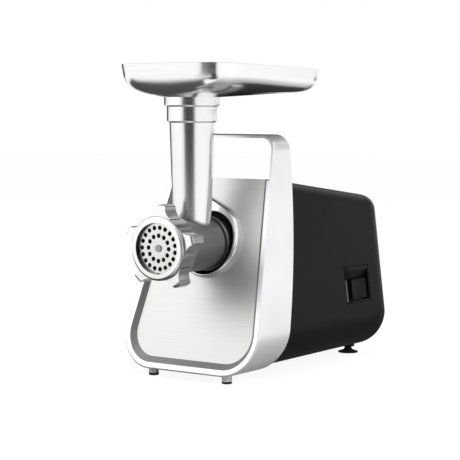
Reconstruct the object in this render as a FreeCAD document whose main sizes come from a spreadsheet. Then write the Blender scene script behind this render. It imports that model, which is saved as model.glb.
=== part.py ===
"""Electric meat grinder: each piece is a solid of its own, in millimetres.

Drawn with the feed tube's axis at x = 0, y = 0: +X is the side with the switch, +Y runs from the grinding
head to the back, +Z is up from the floor. Every placement then moves the piece by SHIFT, which puts the
origin on the floor in the middle of the whole outline.
"""
import FreeCAD
import Part
import math
import os
import re
import Sketcher
from FreeCAD import Matrix, Rotation, Vector

SIZES = {
    # body outline seen from the front: sides lean in with height
    "half_base": 88.7,
    "side_slope": 0.123,
    "frame_low": 7.8,
    "handle_top": 245.5,
    "corner_low": 38.0,
    "handle_round": 18.0,
    "handle_wall": 3.4,
    "edge_wall": 6.0,
    "edge_low": 6.6,
    "edge_round": 1.6,
    # body seen from the side: leaning front, curved parting line, sloping top
    "front_y": -18.5,
    "lean": 0.33,
    "part_low": 31.5,
    "part_high": 87.5,
    "part_arc": 695.0,
    "deck_z": 200.8,
    "deck_fall": 0.085,
    "housing_low": 11.3,
    "housing_back": 275.0,
    "housing_top": 208.8,
    "top_fall": 0.13,
    "corner_back": 40.0,
    "corner_under": 36.0,
    "corner_top": 18.0,
    "shell": 2.6,
    # panel, bevel strip and bezel
    "panel_set": 5.0,
    "panel_thick": 2.5,
    "strip_set": 0.8,
    "strip_wide": 5.3,
    "strip_lip": 0.6,
    "bezel_z": 138.0,
    "bezel_r": 36.5,
    "bezel_hole": 31.0,
    "bezel_rise": 6.0,
    "bezel_round": 3.2,
    "lock_x": -30.0,
    "lock_z": 175.4,
    "lock_pad": 14.0,
    "lock_r": 8.5,
    "slip": 0.1,
    # grinding head
    "head_z": 136.0,
    "tube_low_r": 19.0,
    "tube_top_r": 22.4,
    "collar_z": 258.0,
    "collar_r": 25.0,
    "flange_z": 273.7,
    "flange_r": 27.7,
    "tube_top": 283.0,
    "tube_wall": 2.4,
    "barrel_r": 27.0,
    "mouth_r": 29.3,
    "mouth_y": -53.5,
    "bore_r": 23.0,
    "neck_r": 24.0,
    "neck_end": 53.0,
    "lug_r": 28.0,
    "nut_front": -59.0,
    "nut_back": -35.0,
    "nut_r": 31.8,
    "nut_lug_r": 42.6,
    "nut_hole": 25.2,
    "nut_lip": 4.0,
    "nut_lug_turn": 14.0,
    "nut_edge": 3.0,
    "nut_round": 2.6,
    "nut_step": 4.0,
    "plate_r": 26.8,
    "plate_thick": 5.0,
    "plate_hole": 2.3,
    "outer_ring": 20.3,
    "inner_ring": 12.4,
    "spindle_r": 3.5,
    "drive_square": 8.6,
    "knife_thick": 6.0,
    "auger_r": 22.3,
    "auger_pitch": 24.0,
    # feed tray
    "tray_half": 67.5,
    "tray_front": -47.0,
    "tray_back": 153.0,
    "tray_rim": 315.5,
    "tray_rim_fall": 0.018,
    "tray_round": 30.0,
    "tray_bend": 9.0,
    "tray_front_z": 300.5,
    "tray_back_z": 290.5,
    "tray_wall": 1.2,
    "tray_lift": 0.6,
    "tray_seat": 1.5,
    "neck_outer": 20.6,
    # drive
    "socket_r": 34.2,
    "socket_bore": 30.9,
    "socket_floor": 4.0,
    "socket_lip_y": 43.0,
    "socket_lip": 3.0,
    "lug_clear": 1.5,
    "lug_thick": 3.5,
    "socket_screw_at": 27.0,
    "socket_screw_r": 1.6,
    "case_y": 58.0,
    "case_deep": 46.0,
    "case_wall": 3.0,
    "cover_thick": 5.0,
    "motor_z": 62.0,
    "second_x": -27.0,
    "axle_r": 4.0,
    "output_r": 8.0,
    "output_bush_r": 11.5,
    "coupler_r": 11.0,
    "tail_square": 10.0,
    "gear_screw_r": 2.0,
    "running": 0.06,
    "stator_half": 42.0,
    "stator_long": 50.0,
    "rotor_r": 23.4,
    "bearing_r": 9.5,
    "bolt_r": 2.2,
    "pinion_shaft_r": 2.2,
    "commutator_r": 12.0,
    "fan_r": 34.0,
    # base plate, feet, switch and cord gland
    "base_half": 46.0,
    "base_front": 69.0,
    "base_back": 221.0,
    "base_thick": 2.6,
    "base_screw_x": 42.0,
    "base_screw_r": 1.6,
    "foot_x": 45.8,
    "foot_y": -4.4,
    "post_r": 5.0,
    "pad_r": 5.2,
    "pad_round": 1.0,
    "pad_tall": 2.6,
    "cup_x": 39.0,
    "cup_y": 240.0,
    "cup_r": 11.0,
    "cup_boss": 4.3,
    "cup_stem": 3.5,
    "switch_y": 193.0,
    "switch_z": 83.5,
    "switch_long": 52.0,
    "switch_tall": 39.0,
    "switch_deep": 6.0,
    "switch_ramp": 15.0,
    "rocker_long": 29.0,
    "rocker_tall": 21.0,
    "rocker_gap": 1.0,
    "rocker_y": 6.8,
    "rocker_z": -5.5,
    "rocker_pin": 1.5,
    "gland_x": -25.0,
    "gland_z": 60.0,
    "gland_r": 7.0,
}
SHIFT = "-(housing_back + nut_front)/2"
WORD = re.compile(r"[a-z_][a-z_0-9]*")
NODES = []

doc = FreeCAD.newDocument("meat_grinder")
dims = doc.addObject("Spreadsheet::Sheet", "dims")
for row, (alias, number) in enumerate(SIZES.items(), 1):
    dims.set(f"A{row}", alias)
    dims.set(f"B{row}", str(number))
    dims.setAlias(f"B{row}", alias)
doc.recompute()


# Helpers


def bound(text):
    """Size expression with every alias referred to its cell in the sheet."""
    return WORD.sub(lambda w: "dims." + w.group() if w.group() in SIZES else w.group(), str(text))


def size(text):
    """Value in millimetres of a size expression."""
    return float(dims.evalExpression(str(text)))


def spot(x, y, z):
    """Point whose coordinates are size expressions."""
    return Vector(size(x), size(y), size(z))


def body(label):
    """Empty body of one piece, placed in the shared frame."""
    made = doc.addObject("PartDesign::Body", label)
    made.setExpression("Placement.Base.y", bound(SHIFT))
    NODES.append(made)
    return made


def pin_down(sketch, geometry, end, x, y, point):
    """Hold one sketch point at two size expressions."""
    for kind, text, start in (("DistanceX", x, point.x), ("DistanceY", y, point.y)):
        index = sketch.addConstraint(Sketcher.Constraint(kind, -1, 1, geometry, end, start))
        sketch.setExpression(f"Constraints[{index}]", bound(text))


def arc_between(start, end, radius):
    """Arc from start to end; its centre is on the left for a positive radius, on the right for a negative."""
    chord = end - start
    half = chord.Length / 2
    sagitta = abs(radius) - math.sqrt(radius * radius - half * half)
    left = Vector(-chord.y, chord.x, 0).normalize()
    middle = (start + end) * 0.5 - left * math.copysign(sagitta, radius)
    return Part.Arc(start, middle, end)


def outline(sketch, corners):
    """Closed outline; a third entry in a corner is the radius of an arc to the next corner."""
    first = sketch.GeometryCount
    points = [Vector(size(c[0]), size(c[1]), 0) for c in corners]
    count = len(corners)
    ends = []
    for i, corner in enumerate(corners):
        here, there = points[i], points[(i + 1) % count]
        if len(corner) == 2:
            sketch.addGeometry(Part.LineSegment(here, there))
            ends.append((1, 2))
            continue
        index = sketch.addGeometry(arc_between(here, there, size(corner[2])))
        ends.append((1, 2) if size(corner[2]) > 0 else (2, 1))
        hold = sketch.addConstraint(Sketcher.Constraint("Radius", index, abs(size(corner[2]))))
        sketch.setExpression(f"Constraints[{hold}]", bound(f"abs({corner[2]})"))
    for i in range(count):
        after = (i + 1) % count
        joined = (first + i, ends[i][1], first + after, ends[after][0])
        sketch.addConstraint(Sketcher.Constraint("Coincident", *joined))
    for i, corner in enumerate(corners):
        pin_down(sketch, first + i, ends[i][0], corner[0], corner[1], points[i])


def disc(sketch, x, y, radius):
    """Circle in a sketch."""
    centre = Vector(size(x), size(y), 0)
    index = sketch.addGeometry(Part.Circle(centre, Vector(0, 0, 1), size(radius)))
    hold = sketch.addConstraint(Sketcher.Constraint("Radius", index, size(radius)))
    sketch.setExpression(f"Constraints[{hold}]", bound(radius))
    pin_down(sketch, index, 3, x, y, centre)


def draw(owner, plane, at, loops):
    """Sketch on one of the body's planes; a loop is a list of corners or a circle (x, y, radius)."""
    made = owner.newObject("Sketcher::SketchObject", owner.Name + "_sketch")
    role = plane + "_Plane"
    made.AttachmentSupport = [(next(f for f in owner.Origin.OriginFeatures if f.Role == role), "")]
    made.MapMode = "FlatFace"
    x, y, z = at
    local = {"XY": (x, y, z), "XZ": (x, z, f"-({y})"), "YZ": (y, z, x)}[plane]
    for axis, text in zip("xyz", local):
        made.setExpression("AttachmentOffset.Base." + axis, bound(text))
    for loop in loops:
        if isinstance(loop, tuple):
            disc(made, *loop)
        else:
            outline(made, loop)
    return made


def feature(owner, kind, profile):
    """New feature of a body on a profile."""
    made = owner.newObject("PartDesign::" + kind, owner.Name + "_" + kind.lower())
    made.Profile = profile
    return made


def start_on(plane, level, at):
    """Origin of a sketch that lies at a level across its plane."""
    x, y = at
    return {"XY": (x, y, level), "XZ": (x, level, y), "YZ": (level, x, y)}[plane]


def pad(owner, plane, low, high, *loops, at=("0", "0")):
    """Add the loops between two levels across their plane."""
    made = feature(owner, "Pad", draw(owner, plane, start_on(plane, low, at), loops))
    made.setExpression("Length", bound(f"({high}) - ({low})"))
    made.Reversed = plane == "XZ"
    return made


def cut(owner, plane, low, high, *loops, at=("0", "0")):
    """Take the loops away between two levels across their plane."""
    made = feature(owner, "Pocket", draw(owner, plane, start_on(plane, low, at), loops))
    made.setExpression("Length", bound(f"({high}) - ({low})"))
    made.Reversed = plane != "XZ"
    return made


def through(owner, plane, *loops):
    """Take the loops away along the whole piece."""
    made = feature(owner, "Pocket", draw(owner, plane, ("0", "0", "0"), loops))
    made.Type = "ThroughAll"
    made.SideType = "Symmetric"
    return made


def turn(owner, axis, at, *loops, kind="Revolution"):
    """Turn loops of (along, radius) about an axis along Y, or of (radius, z) about one along Z."""
    u, v = at
    origin = ("YZ", (u, "0", v)) if axis == "Y" else ("XZ", (u, v, "0"))
    profile = draw(owner, *origin, loops)
    made = feature(owner, kind, profile)
    made.ReferenceAxis = (profile, ["H_Axis" if axis == "Y" else "V_Axis"])
    made.Angle = 360
    return made


def around(owner, source, count):
    """Repeat a feature evenly about the origin of its own sketch."""
    made = owner.newObject("PartDesign::PolarPattern", owner.Name + "_pattern")
    made.Originals = [source]
    made.Axis = (source.Profile[0], ["N_Axis"])
    made.Angle = 360
    made.Occurrences = count
    owner.Tip = made
    return made


def in_row(owner, source, span, count):
    """Repeat a feature in a row along Y."""
    made = owner.newObject("PartDesign::LinearPattern", owner.Name + "_row")
    made.Originals = [source]
    made.Direction = (source.Profile[0], ["V_Axis"])
    made.setExpression("Length", bound(span))
    made.Occurrences = count
    owner.Tip = made
    return made


def nearest(shapes, point):
    """Number of the edge or face that lies nearest to a point."""
    mark = Part.Vertex(point)
    return 1 + min(range(len(shapes)), key=lambda i: shapes[i].distToShape(mark)[0])


def rounded(owner, radius, *points, kind="Fillet", amount="Radius"):
    """Round, or chamfer, the edges nearest to points and those that run on from them."""
    doc.recompute()
    last = owner.Tip
    names = {f"Edge{nearest(last.Shape.Edges, spot(*p))}" for p in points}
    made = owner.newObject("PartDesign::" + kind, owner.Name + "_" + kind.lower())
    made.Base = (last, sorted(names))
    made.setExpression(amount, bound(radius))
    return made


def hollow(owner, wall, point):
    """Leave a wall inside the outer faces, open at the face nearest to a point."""
    doc.recompute()
    last = owner.Tip
    made = owner.newObject("PartDesign::Thickness", owner.Name + "_hollow")
    made.Base = (last, [f"Face{nearest(last.Shape.Faces, spot(*point))}"])
    made.setExpression("Value", bound(wall))
    made.Join = "Intersection"
    made.Reversed = True
    return made


def freeform(label, shape):
    """Piece whose shape is worked out here from the sheet's sizes."""
    made = doc.addObject("Part::Feature", label)
    moved = shape.Placement.toMatrix()
    shape.Placement = FreeCAD.Placement()
    made.Shape = shape.transformed(moved, True)
    made.setExpression("Placement.Base.y", bound(SHIFT))
    NODES.append(made)
    return made


def pair(label, one):
    """Piece made of a body and its mirror image across the middle of the object."""
    NODES.remove(one)
    other = doc.addObject("Part::Mirroring", label + "_mirror")
    other.Source = one
    other.Normal = (1, 0, 0)
    made = doc.addObject("Part::Compound", label)
    made.Links = [one, other]
    NODES.append(made)
    return made


def copies(label, one, places):
    """Piece made of equal bodies, each drawn about the origin and put at a place."""
    NODES.remove(one)
    one.setExpression("Placement.Base.y", None)
    links = []
    for x, y, z in places:
        link = doc.addObject("App::Link", label + "_copy")
        link.LinkedObject = one
        for axis, text in zip("xyz", (x, f"({y}) + {SHIFT}", z)):
            link.setExpression("Placement.Base." + axis, bound(text))
        links.append(link)
    made = doc.addObject("Part::Compound", label)
    made.Links = links
    NODES.append(made)
    return made


def box(x0, z0, x1, z1):
    """Corners of an upright rectangle."""
    return [(x0, z0), (x1, z0), (x1, z1), (x0, z1)]


def centred(x, z, half_x, half_z):
    """Corners of a rectangle about a point."""
    return box(f"{x} - ({half_x})", f"{z} - ({half_z})", f"{x} + ({half_x})", f"{z} + ({half_z})")


def side(z, inset="0"):
    """Half width of the body at a height, less an inset."""
    return f"(half_base - side_slope*({z}) - ({inset}))"


def trapezoid(low, high, inset="0"):
    """Front outline of the body between two heights."""
    return [
        ("-" + side(low, inset), low),
        (side(low, inset), low),
        (side(high, inset), high),
        ("-" + side(high, inset), high),
    ]


def arch(low, high, inset, radius):
    """Front outline between two heights with its upper corners rounded."""
    slant = "sqrt(1 + side_slope^2)"
    reach = f"({radius})*({slant} - side_slope)"
    wide = side(high, inset)
    over, down = f"({wide} - {reach})", f"({high} - {reach}/{slant})"
    out = f"({wide} + {reach}*side_slope/{slant})"
    foot = side(low, inset)
    right = [(foot, low), (out, down, radius), (over, high)]
    return [(f"-{foot}", low)] + right + [(f"-{over}", high, radius), (f"-{out}", down)]


def bowl(low, high, inset, radius):
    """Front outline between two heights with its lower corners rounded."""
    slant = "sqrt(1 + side_slope^2)"
    reach = f"({radius})*({slant} + side_slope)"
    wide = side(low, inset)
    flat, rise = f"({wide} - {reach})", f"({low} + {reach}/{slant})"
    out = f"({wide} - {reach}*side_slope/{slant})"
    top = side(high, inset)
    right = [(flat, low, radius), (out, rise), (top, high)]
    return [(f"-{flat}", low)] + right + [(f"-{top}", high), (f"-{out}", rise, radius)]


def front(z, behind="0"):
    """Depth of the leaning front at a height, moved back by an amount."""
    return f"(front_y + lean*({z}) + ({behind}))"


def before(behind):
    """Side outline of everything in front of a leaning plane."""
    return [("-90", "-20"), (front("-20", behind), "-20"), (front("280", behind), "280"), ("-90", "280")]


def after(behind):
    """Side outline of everything behind a leaning plane."""
    return [("150", "-20"), (front("-20", behind), "-20"), (front("280", behind), "280"), ("150", "280")]


def beside_parting(depth):
    """Side outline between the curved parting line and a depth."""
    return [("part_low", "-10", "part_arc"), ("part_high", "260"), (depth, "260"), (depth, "-10")]


# Body shell


def front_frame():
    """Silver loop: a band round the front that runs up into the carrying handle."""
    made = body("front_frame")
    pad(made, "XZ", "-40", "110", trapezoid("frame_low", "handle_top"))
    for corner, z in (("corner_low", "frame_low"), ("handle_round", "handle_top")):
        rounded(made, corner, (side(z), "35", z), ("-" + side(z), "35", z))
    gap_top = "handle_top - handle_wall"
    through(made, "XZ", arch("deck_z - 1", gap_top, "handle_wall", "handle_round - handle_wall"))
    through(made, "XZ", bowl("frame_low + edge_low", "deck_z", "edge_wall", "corner_low - edge_wall"))
    through(made, "YZ", before("0"))
    through(made, "YZ", beside_parting("150"))
    rounded(made, "edge_round", (side("100"), front("100"), "100"))
    return made


def front_panel():
    """Brushed sheet that fills the frame, folded back along its top edge as far as the parting line."""
    made = body("front_panel")
    low = "frame_low + edge_low + slip"
    inset = "edge_wall + slip"
    pad(made, "XZ", "-40", "110", bowl(low, "deck_z", inset, "corner_low - edge_wall"))
    through(made, "YZ", before("panel_set"))
    fold = front("deck_z", "panel_set")
    back = "panel_set + panel_thick"
    under = "deck_z - panel_thick"
    fall = f"deck_z - deck_fall*(150 - {fold})"
    through(made, "YZ", [(fold, "deck_z"), ("150", fall), ("150", "260"), (fold, "260")])
    inner = front(under, back)
    room = [(front("-20", back), "-20"), (inner, under)]
    room += [("150", f"{under} - deck_fall*(150 - {inner})"), ("150", "-20")]
    through(made, "YZ", room)
    through(made, "YZ", beside_parting("160"))
    through(made, "XZ", ("0", "head_z", "socket_r + 0.4"), ("lock_x", "lock_z", "lock_r + 0.4"))
    return made


def lean_outline(inset, behind):
    """Outline of the panel recess on a leaning plane, open corners rounded, top well above the panel."""
    low = size("frame_low + edge_low - edge_wall") + inset
    high = size("deck_z") + 20
    radius = size("corner_low") - inset
    slope = size("side_slope")
    wide_low, wide_high = size(side(low, inset)), size(side(high, inset))
    tilt = math.atan(slope)
    reach = radius / math.tan((math.pi / 2 - tilt) / 2)
    flat = wide_low - reach
    up_x, up_z = wide_low - reach * math.sin(tilt), low + reach * math.cos(tilt)
    centre = Vector(flat, 0, low + radius)
    turn_mid = centre + Vector(math.cos(math.pi / 4), 0, -math.sin(math.pi / 4)) * radius
    corner = Part.Arc(Vector(flat, 0, low), turn_mid, Vector(up_x, 0, up_z)).toShape()
    mirrored = corner.mirror(Vector(), Vector(1, 0, 0))
    points = [(up_x, up_z), (wide_high, high), (-wide_high, high), (-up_x, up_z)]
    points = [Vector(x, 0, z) for x, z in points]
    lines = [Part.makeLine(a, b) for a, b in zip(points, points[1:])]
    lines.append(Part.makeLine(Vector(-flat, 0, low), Vector(flat, 0, low)))
    wire = Part.Wire(Part.__sortEdges__([corner, mirrored] + lines))
    lean = Matrix()
    lean.A23 = size("lean")
    lean.A24 = size("front_y") + behind
    return wire.transformGeometry(lean)


def panel_strip():
    """Grey bevel between the frame's front edge and the panel, open at the top."""
    back, near = size("panel_set"), size("strip_set")
    outer = size("edge_wall + slip")
    wide = size("strip_wide")
    block = Part.makeLoft([lean_outline(outer, near), lean_outline(outer, back)], True, True)
    inner = [lean_outline(outer + size("strip_lip"), near), lean_outline(outer + wide, back)]
    hole = Part.makeLoft(inner, True, True)
    room = Part.makeBox(300, 300, size("deck_z"), Vector(-150, -100, 0))
    return freeform("panel_strip", block.cut(hole).common(room))


def tangent_points():
    """Corners of the straight-sided part of the teardrop bezel, between its round ends."""
    run = "(lock_z - bezel_z)"
    aim = f"atan2({run}; lock_x)"
    spread = f"acos((bezel_r - lock_pad)/sqrt(lock_x^2 + {run}^2))"
    found = []
    for sign in ("-", "+"):
        across, up = f"cos({aim} {sign} {spread})", f"sin({aim} {sign} {spread})"
        ends = [(f"bezel_r*{across}", f"bezel_z + bezel_r*{up}")]
        ends.append((f"lock_x + lock_pad*{across}", f"lock_z + lock_pad*{up}"))
        found += ends if sign == "-" else ends[::-1]
    return found


def head_bezel():
    """Raised teardrop ring on the panel, round the head opening and the lock button."""
    made = body("head_bezel")
    for loop in (("0", "bezel_z", "bezel_r"), ("lock_x", "lock_z", "lock_pad"), tangent_points()):
        pad(made, "XZ", "-20", "80", loop)
    rise = "panel_set - bezel_rise"
    through(made, "YZ", before(rise))
    through(made, "YZ", after("panel_set"))
    low = "bezel_z - bezel_r"
    rounded(made, "bezel_round", ("0", front(low, rise), low))
    through(made, "XZ", ("0", "head_z", "bezel_hole"), ("lock_x", "lock_z", "lock_r + 0.4"))
    low = "head_z - bezel_hole"
    rounded(made, "1.4", ("0", front(low, rise), low))
    return made


def sector(near, far, half, turned="0"):
    """Corners of a block between two radii, half an angle to each side of a direction."""
    corners = []
    for radius, angle in ((near, f"-{half}"), (far, f"-{half}"), (far, half), (near, half)):
        way = f"({turned} + {angle})"
        corners.append((f"{radius}*cos{way}", f"{radius}*sin{way}"))
    return corners


def head_socket():
    """Black cup behind the panel; three slots in its lip let the head's lugs in when the head is tilted."""
    made = body("head_socket")
    cup = [("0", "socket_bore"), ("0", "socket_r"), ("case_y", "socket_r")]
    floor = "case_y - socket_floor"
    cup += [("case_y", "15"), (floor, "15"), (floor, "socket_bore")]
    turn(made, "Y", ("0", "head_z"), cup)
    lip_front, lip_back = "socket_lip_y", "socket_lip_y + socket_lip"
    turn(made, "Y", ("0", "head_z"), box(lip_front, "neck_r + 0.6", lip_back, "socket_bore + 1"))
    through(made, "YZ", before("panel_set"))
    entry = sector("neck_r", "(lug_r + 1)", "20", "135")
    slot = cut(made, "XZ", f"{lip_front} - 1", f"{lip_back} + 1", entry, at=("0", "head_z"))
    doc.recompute()
    around(made, slot, 3)
    drilled = sector_circle("socket_screw_at", "45", "socket_screw_r + 0.1")
    hole = cut(made, "XZ", f"{floor} - 1", "case_y + 1", drilled, at=("0", "head_z"))
    doc.recompute()
    around(made, hole, 4)
    return made


def sector_circle(away, turned, radius):
    """Circle at a distance and direction from a sketch's origin."""
    return (f"{away}*cos({turned})", f"{away}*sin({turned})", radius)


def screw(label, axis, way, head, shank):
    """Pan-head screw about the origin: head and shank are (radius, length), the shank runs the given way."""
    made = body(label)
    top, tip = f"-{way}*({head[1]})", f"{way}*({shank[1]})"
    steps = [("0", top), (head[0], top), (head[0], "0"), (shank[0], "0"), (shank[0], tip), ("0", tip)]
    turn(made, axis, ("0", "0"), steps if axis == "Z" else [(along, out) for out, along in steps])
    return made


def socket_screws():
    """Four screws that hold the socket to the gearbox."""
    one = screw("socket_screw", "Y", "1", ("2.5", "2"), ("socket_screw_r", "case_wall + socket_floor"))
    places = []
    for turned in (45, 135, 225, 315):
        x, z, _ = sector_circle("socket_screw_at", turned, "0")
        places.append((x, "case_y - socket_floor", f"head_z + {z}"))
    return copies("socket_screws", one, places)


def lock_button():
    """Push button at the tip of the bezel that frees the head."""
    made = body("lock_button")
    collar, spigot, tip = "case_y - 7", "case_y - 5", "case_y - 3.5"
    loops = [("0", "0"), ("0", "lock_r"), (collar, "lock_r"), (collar, "lock_r + 2"), (spigot, "lock_r + 2")]
    loops += [(spigot, "lock_r/2"), (tip, "lock_r/2"), (tip, "0")]
    turn(made, "Y", ("lock_x", "lock_z"), loops)
    through(made, "YZ", before("panel_set - bezel_rise - 2.2"))
    return made


def rear_housing():
    """Black shell behind the parting line, open at the base plate, the switch and the cord gland."""
    made = body("rear_housing")
    pad(made, "XZ", "25", "housing_back", trapezoid("housing_low", "housing_top + 10"))
    past = "(housing_back + 45)"
    roof = [("0", "housing_top"), (past, f"housing_top - top_fall*{past}"), (past, "280"), ("0", "280")]
    through(made, "YZ", roof)
    uprights = [(half, "housing_back", "100") for half in (side("100"), "-" + side("100"))]
    rounded(made, "corner_back", *uprights)
    rounded(made, "corner_under", (side("housing_low"), "100", "housing_low"))
    ridge = "housing_top - top_fall*100"
    rounded(made, "corner_top", (side(ridge), "100", ridge))
    hollow(made, "shell", ("0", "25", "100"))
    through(made, "YZ", beside_parting("-60"))
    low = "housing_low"
    rim = "base_half - 8"
    cut(made, "XY", f"{low} - 5", f"{low} + 8", box(f"-({rim})", "base_front + 6", rim, "base_back - 6"))
    window = centred("switch_y", "switch_z", "switch_long/2", "switch_tall/2")
    cut(made, "YZ", "50", "100", window)
    cut(made, "XZ", "housing_back - 8", "housing_back + 5", ("gland_x", "gland_z", "gland_r"))
    cups = ("cup_x", "-cup_x")
    pad(made, "XY", f"{low} - cup_boss", f"{low} + 4", *[(x, "cup_y", "2*cup_stem") for x in cups])
    cut(made, "XY", f"{low} - 6", f"{low} + 6", *[(x, "cup_y", "cup_stem + 0.1") for x in cups])
    cut(made, "XY", f"{low} - 5", f"{low} + 8", *[(x, y, "base_screw_r + 0.1") for x, y in screw_spots()])
    return made


def screw_spots():
    """Places of the base screws, seen from above."""
    rows = ("base_front + 16", "(base_front + base_back)/2", "base_back - 16")
    return [(x, y) for x in ("-base_screw_x", "base_screw_x") for y in rows]


def base_plate():
    """Plate on the floor of the housing, with rows of air slots."""
    made = body("base_plate")
    low = "housing_low + shell"
    pad(made, "XY", low, f"{low} + base_thick", box("-base_half", "base_front", "base_half", "base_back"))
    through(made, "XY", *[(x, y, "base_screw_r + 0.1") for x, y in screw_spots()])
    near, far = "base_front + 59", "base_front + 63"
    slots = [box("-30", near, "-4", far), box("4", near, "30", far)]
    first = cut(made, "XY", f"{low} - 1", f"{low} + base_thick + 1", *slots)
    doc.recompute()
    in_row(made, first, "base_back - base_front - 75", 8)
    return made


def base_screws():
    """Six screws that hold the base plate from below."""
    one = screw("base_screw", "Z", "1", ("3.2", "1.8"), ("base_screw_r", "shell + base_thick"))
    return copies("base_screws", one, [(x, y, "housing_low") for x, y in screw_spots()])


def front_feet():
    """Silver posts under the frame and the rubber pads they stand on."""
    post = body("front_foot_post")
    turn(post, "Z", ("foot_x", "foot_y"), box("0", "pad_tall", "post_r", "frame_low"))
    pair("front_foot_posts", post)
    rubber = body("front_foot_pad")
    tread = [("0", "0"), ("pad_r - pad_round", "0", "pad_round"), ("pad_r", "pad_round")]
    tread += [("pad_r", "pad_tall"), ("0", "pad_tall")]
    turn(rubber, "Z", ("foot_x", "foot_y"), tread)
    pair("front_foot_pads", rubber)


def rear_feet():
    """Rubber suction cups on stems plugged into the housing."""
    made = body("rear_foot")
    top, end = "housing_low - cup_boss", "housing_low + 5"
    steps = [("0", "0"), ("cup_r", "0"), ("cup_r", "1.2"), ("cup_r/2", "3"), ("cup_stem + 0.5", "4.5")]
    steps += [("cup_stem + 0.5", top), ("cup_stem", top), ("cup_stem", end), ("0", end)]
    turn(made, "Z", ("cup_x", "cup_y"), steps)
    return pair("rear_suction_feet", made)


# Grinding head


def grinder_head():
    """Feed tube and barrel in one casting, with a bayonet neck at the back."""
    made = body("grinder_head")
    steps = [("0", "head_z"), ("tube_low_r", "head_z + 14"), ("tube_top_r", "collar_z")]
    steps += [("collar_r", "collar_z"), ("collar_r", "flange_z"), ("flange_r", "flange_z")]
    steps += [("flange_r", "tube_top"), ("0", "tube_top")]
    turn(made, "Z", ("0", "0"), steps)
    for edge in (("collar_r", "0", "collar_z"), ("flange_r", "0", "flange_z")):
        rounded(made, "2.2", edge)
    barrel = [("mouth_y", "0"), ("mouth_y", "mouth_r"), ("nut_back - 2", "mouth_r")]
    barrel += [("nut_back - 2", "barrel_r"), ("19", "barrel_r"), ("19", "neck_r"), ("22", "neck_r")]
    barrel += [("22", "lug_r"), ("25", "lug_r"), ("25", "neck_r"), ("neck_end", "neck_r"), ("neck_end", "0")]
    turn(made, "Y", ("0", "head_z"), barrel)
    lug_y = "socket_lip_y + socket_lip + lug_clear"
    claw = sector("(neck_r - 2)", "(lug_r + 0.4)", "16", "90")
    lug = pad(made, "XZ", lug_y, f"{lug_y} + lug_thick", claw, at=("0", "head_z"))
    doc.recompute()
    around(made, lug, 3)
    knife_room = "mouth_y + 11"
    bore = [("-80", "0"), ("-80", "plate_r + 0.4"), (knife_room, "plate_r + 0.4"), (knife_room, "bore_r")]
    bore += [("30", "bore_r"), ("30", "10.6"), ("36", "10.6"), ("36", "20"), ("60", "20"), ("60", "0")]
    turn(made, "Y", ("0", "head_z"), bore, kind="Groove")
    wall = "tube_wall"
    seat = "collar_z + 3.5"
    throat = [("0", "head_z"), (f"tube_low_r - {wall}", "head_z + 14"), (f"tube_top_r - {wall} - 0.6", seat)]
    throat += [("neck_outer + 0.4", seat), ("neck_outer + 0.4", "tube_top + 5"), ("0", "tube_top + 5")]
    turn(made, "Z", ("0", "0"), throat, kind="Groove")
    low = "head_z - plate_r"
    pad(made, "XZ", "mouth_y", "mouth_y + 3.5", box("-1.5", f"{low} - 1", "1.5", f"{low} + 1.8"))
    return made


def auger():
    """Screw conveyor: a tapered core, one flight, a drive square at each end and the spindle in front."""
    rear, front_end = 27.0, size("mouth_y") + 11.5
    length = rear - front_end
    reach, pitch = size("auger_r"), size("auger_pitch")
    core_low, core_high = 9.0, 13.0
    neck, journal = 8.0, 14.0
    half = [(0, 0), (core_low, 0), (core_high, length), (neck, length)]
    half += [(neck, length + journal), (0, length + journal)]
    turned = Part.Face(Part.makePolygon([Vector(r, 0, y) for r, y in half + half[:1]]))
    core = turned.revolve(Vector(), Vector(0, 0, 1), 360)
    thick = 6.0
    helix = Part.makeHelix(pitch, length - thick, core_low)
    flank = [(core_low - 2, 0), (reach, 1.6), (reach, thick - 1.6), (core_low - 2, thick)]
    blade = Part.makePolygon([Vector(r, 0, y) for r, y in flank + flank[:1]])
    flight = Part.Wire(helix.Edges).makePipeShell([blade], True, True)
    square = size("drive_square")
    deep = size("knife_thick") + 2
    nose = Part.makeBox(square, square, deep, Vector(-square / 2, -square / 2, -deep))
    pin_end = size("nut_front + nut_lip") - 1.2 - front_end
    spindle = Part.makeCylinder(size("spindle_r"), -pin_end, Vector(0, 0, pin_end))
    tail_square = size("tail_square")
    corner = Vector(-tail_square / 2, -tail_square / 2, length + journal)
    tail = Part.makeBox(tail_square, tail_square, 8.5, corner)
    whole = core.fuse([flight, nose, spindle, tail]).removeSplitter()
    whole.rotate(Vector(), Vector(1, 0, 0), -90)
    whole.translate(Vector(0, front_end, size("head_z")))
    return freeform("auger", whole)


def auger_bush():
    """Flanged bush that carries the auger in the back wall of the barrel."""
    made = body("auger_bush")
    ring = [("28.4", "8.15"), ("28.4", "14"), ("30", "14"), ("30", "10.55"), ("36", "10.55"), ("36", "8.15")]
    turn(made, "Y", ("0", "head_z"), ring)
    return made


def knife():
    """Four-armed knife that turns against the back of the cutting plate."""
    made = body("knife")
    plate_back = "nut_front + nut_lip + plate_thick"
    back = f"{plate_back} + knife_thick"
    pad(made, "XZ", plate_back, back, ("0", "0", "8.5"), at=("0", "head_z"))
    arm = [("5", "-4.5"), ("24.5", "-1.5", "30"), ("24", "4.5"), ("5", "5.5")]
    blade = pad(made, "XZ", plate_back, back, arm, at=("0", "head_z"))
    doc.recompute()
    around(made, blade, 4)
    half = "drive_square/2 + 0.1"
    cut(made, "XZ", f"{plate_back} - 2", f"{back} + 2", centred("0", "0", half, half), at=("0", "head_z"))
    return made


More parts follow.
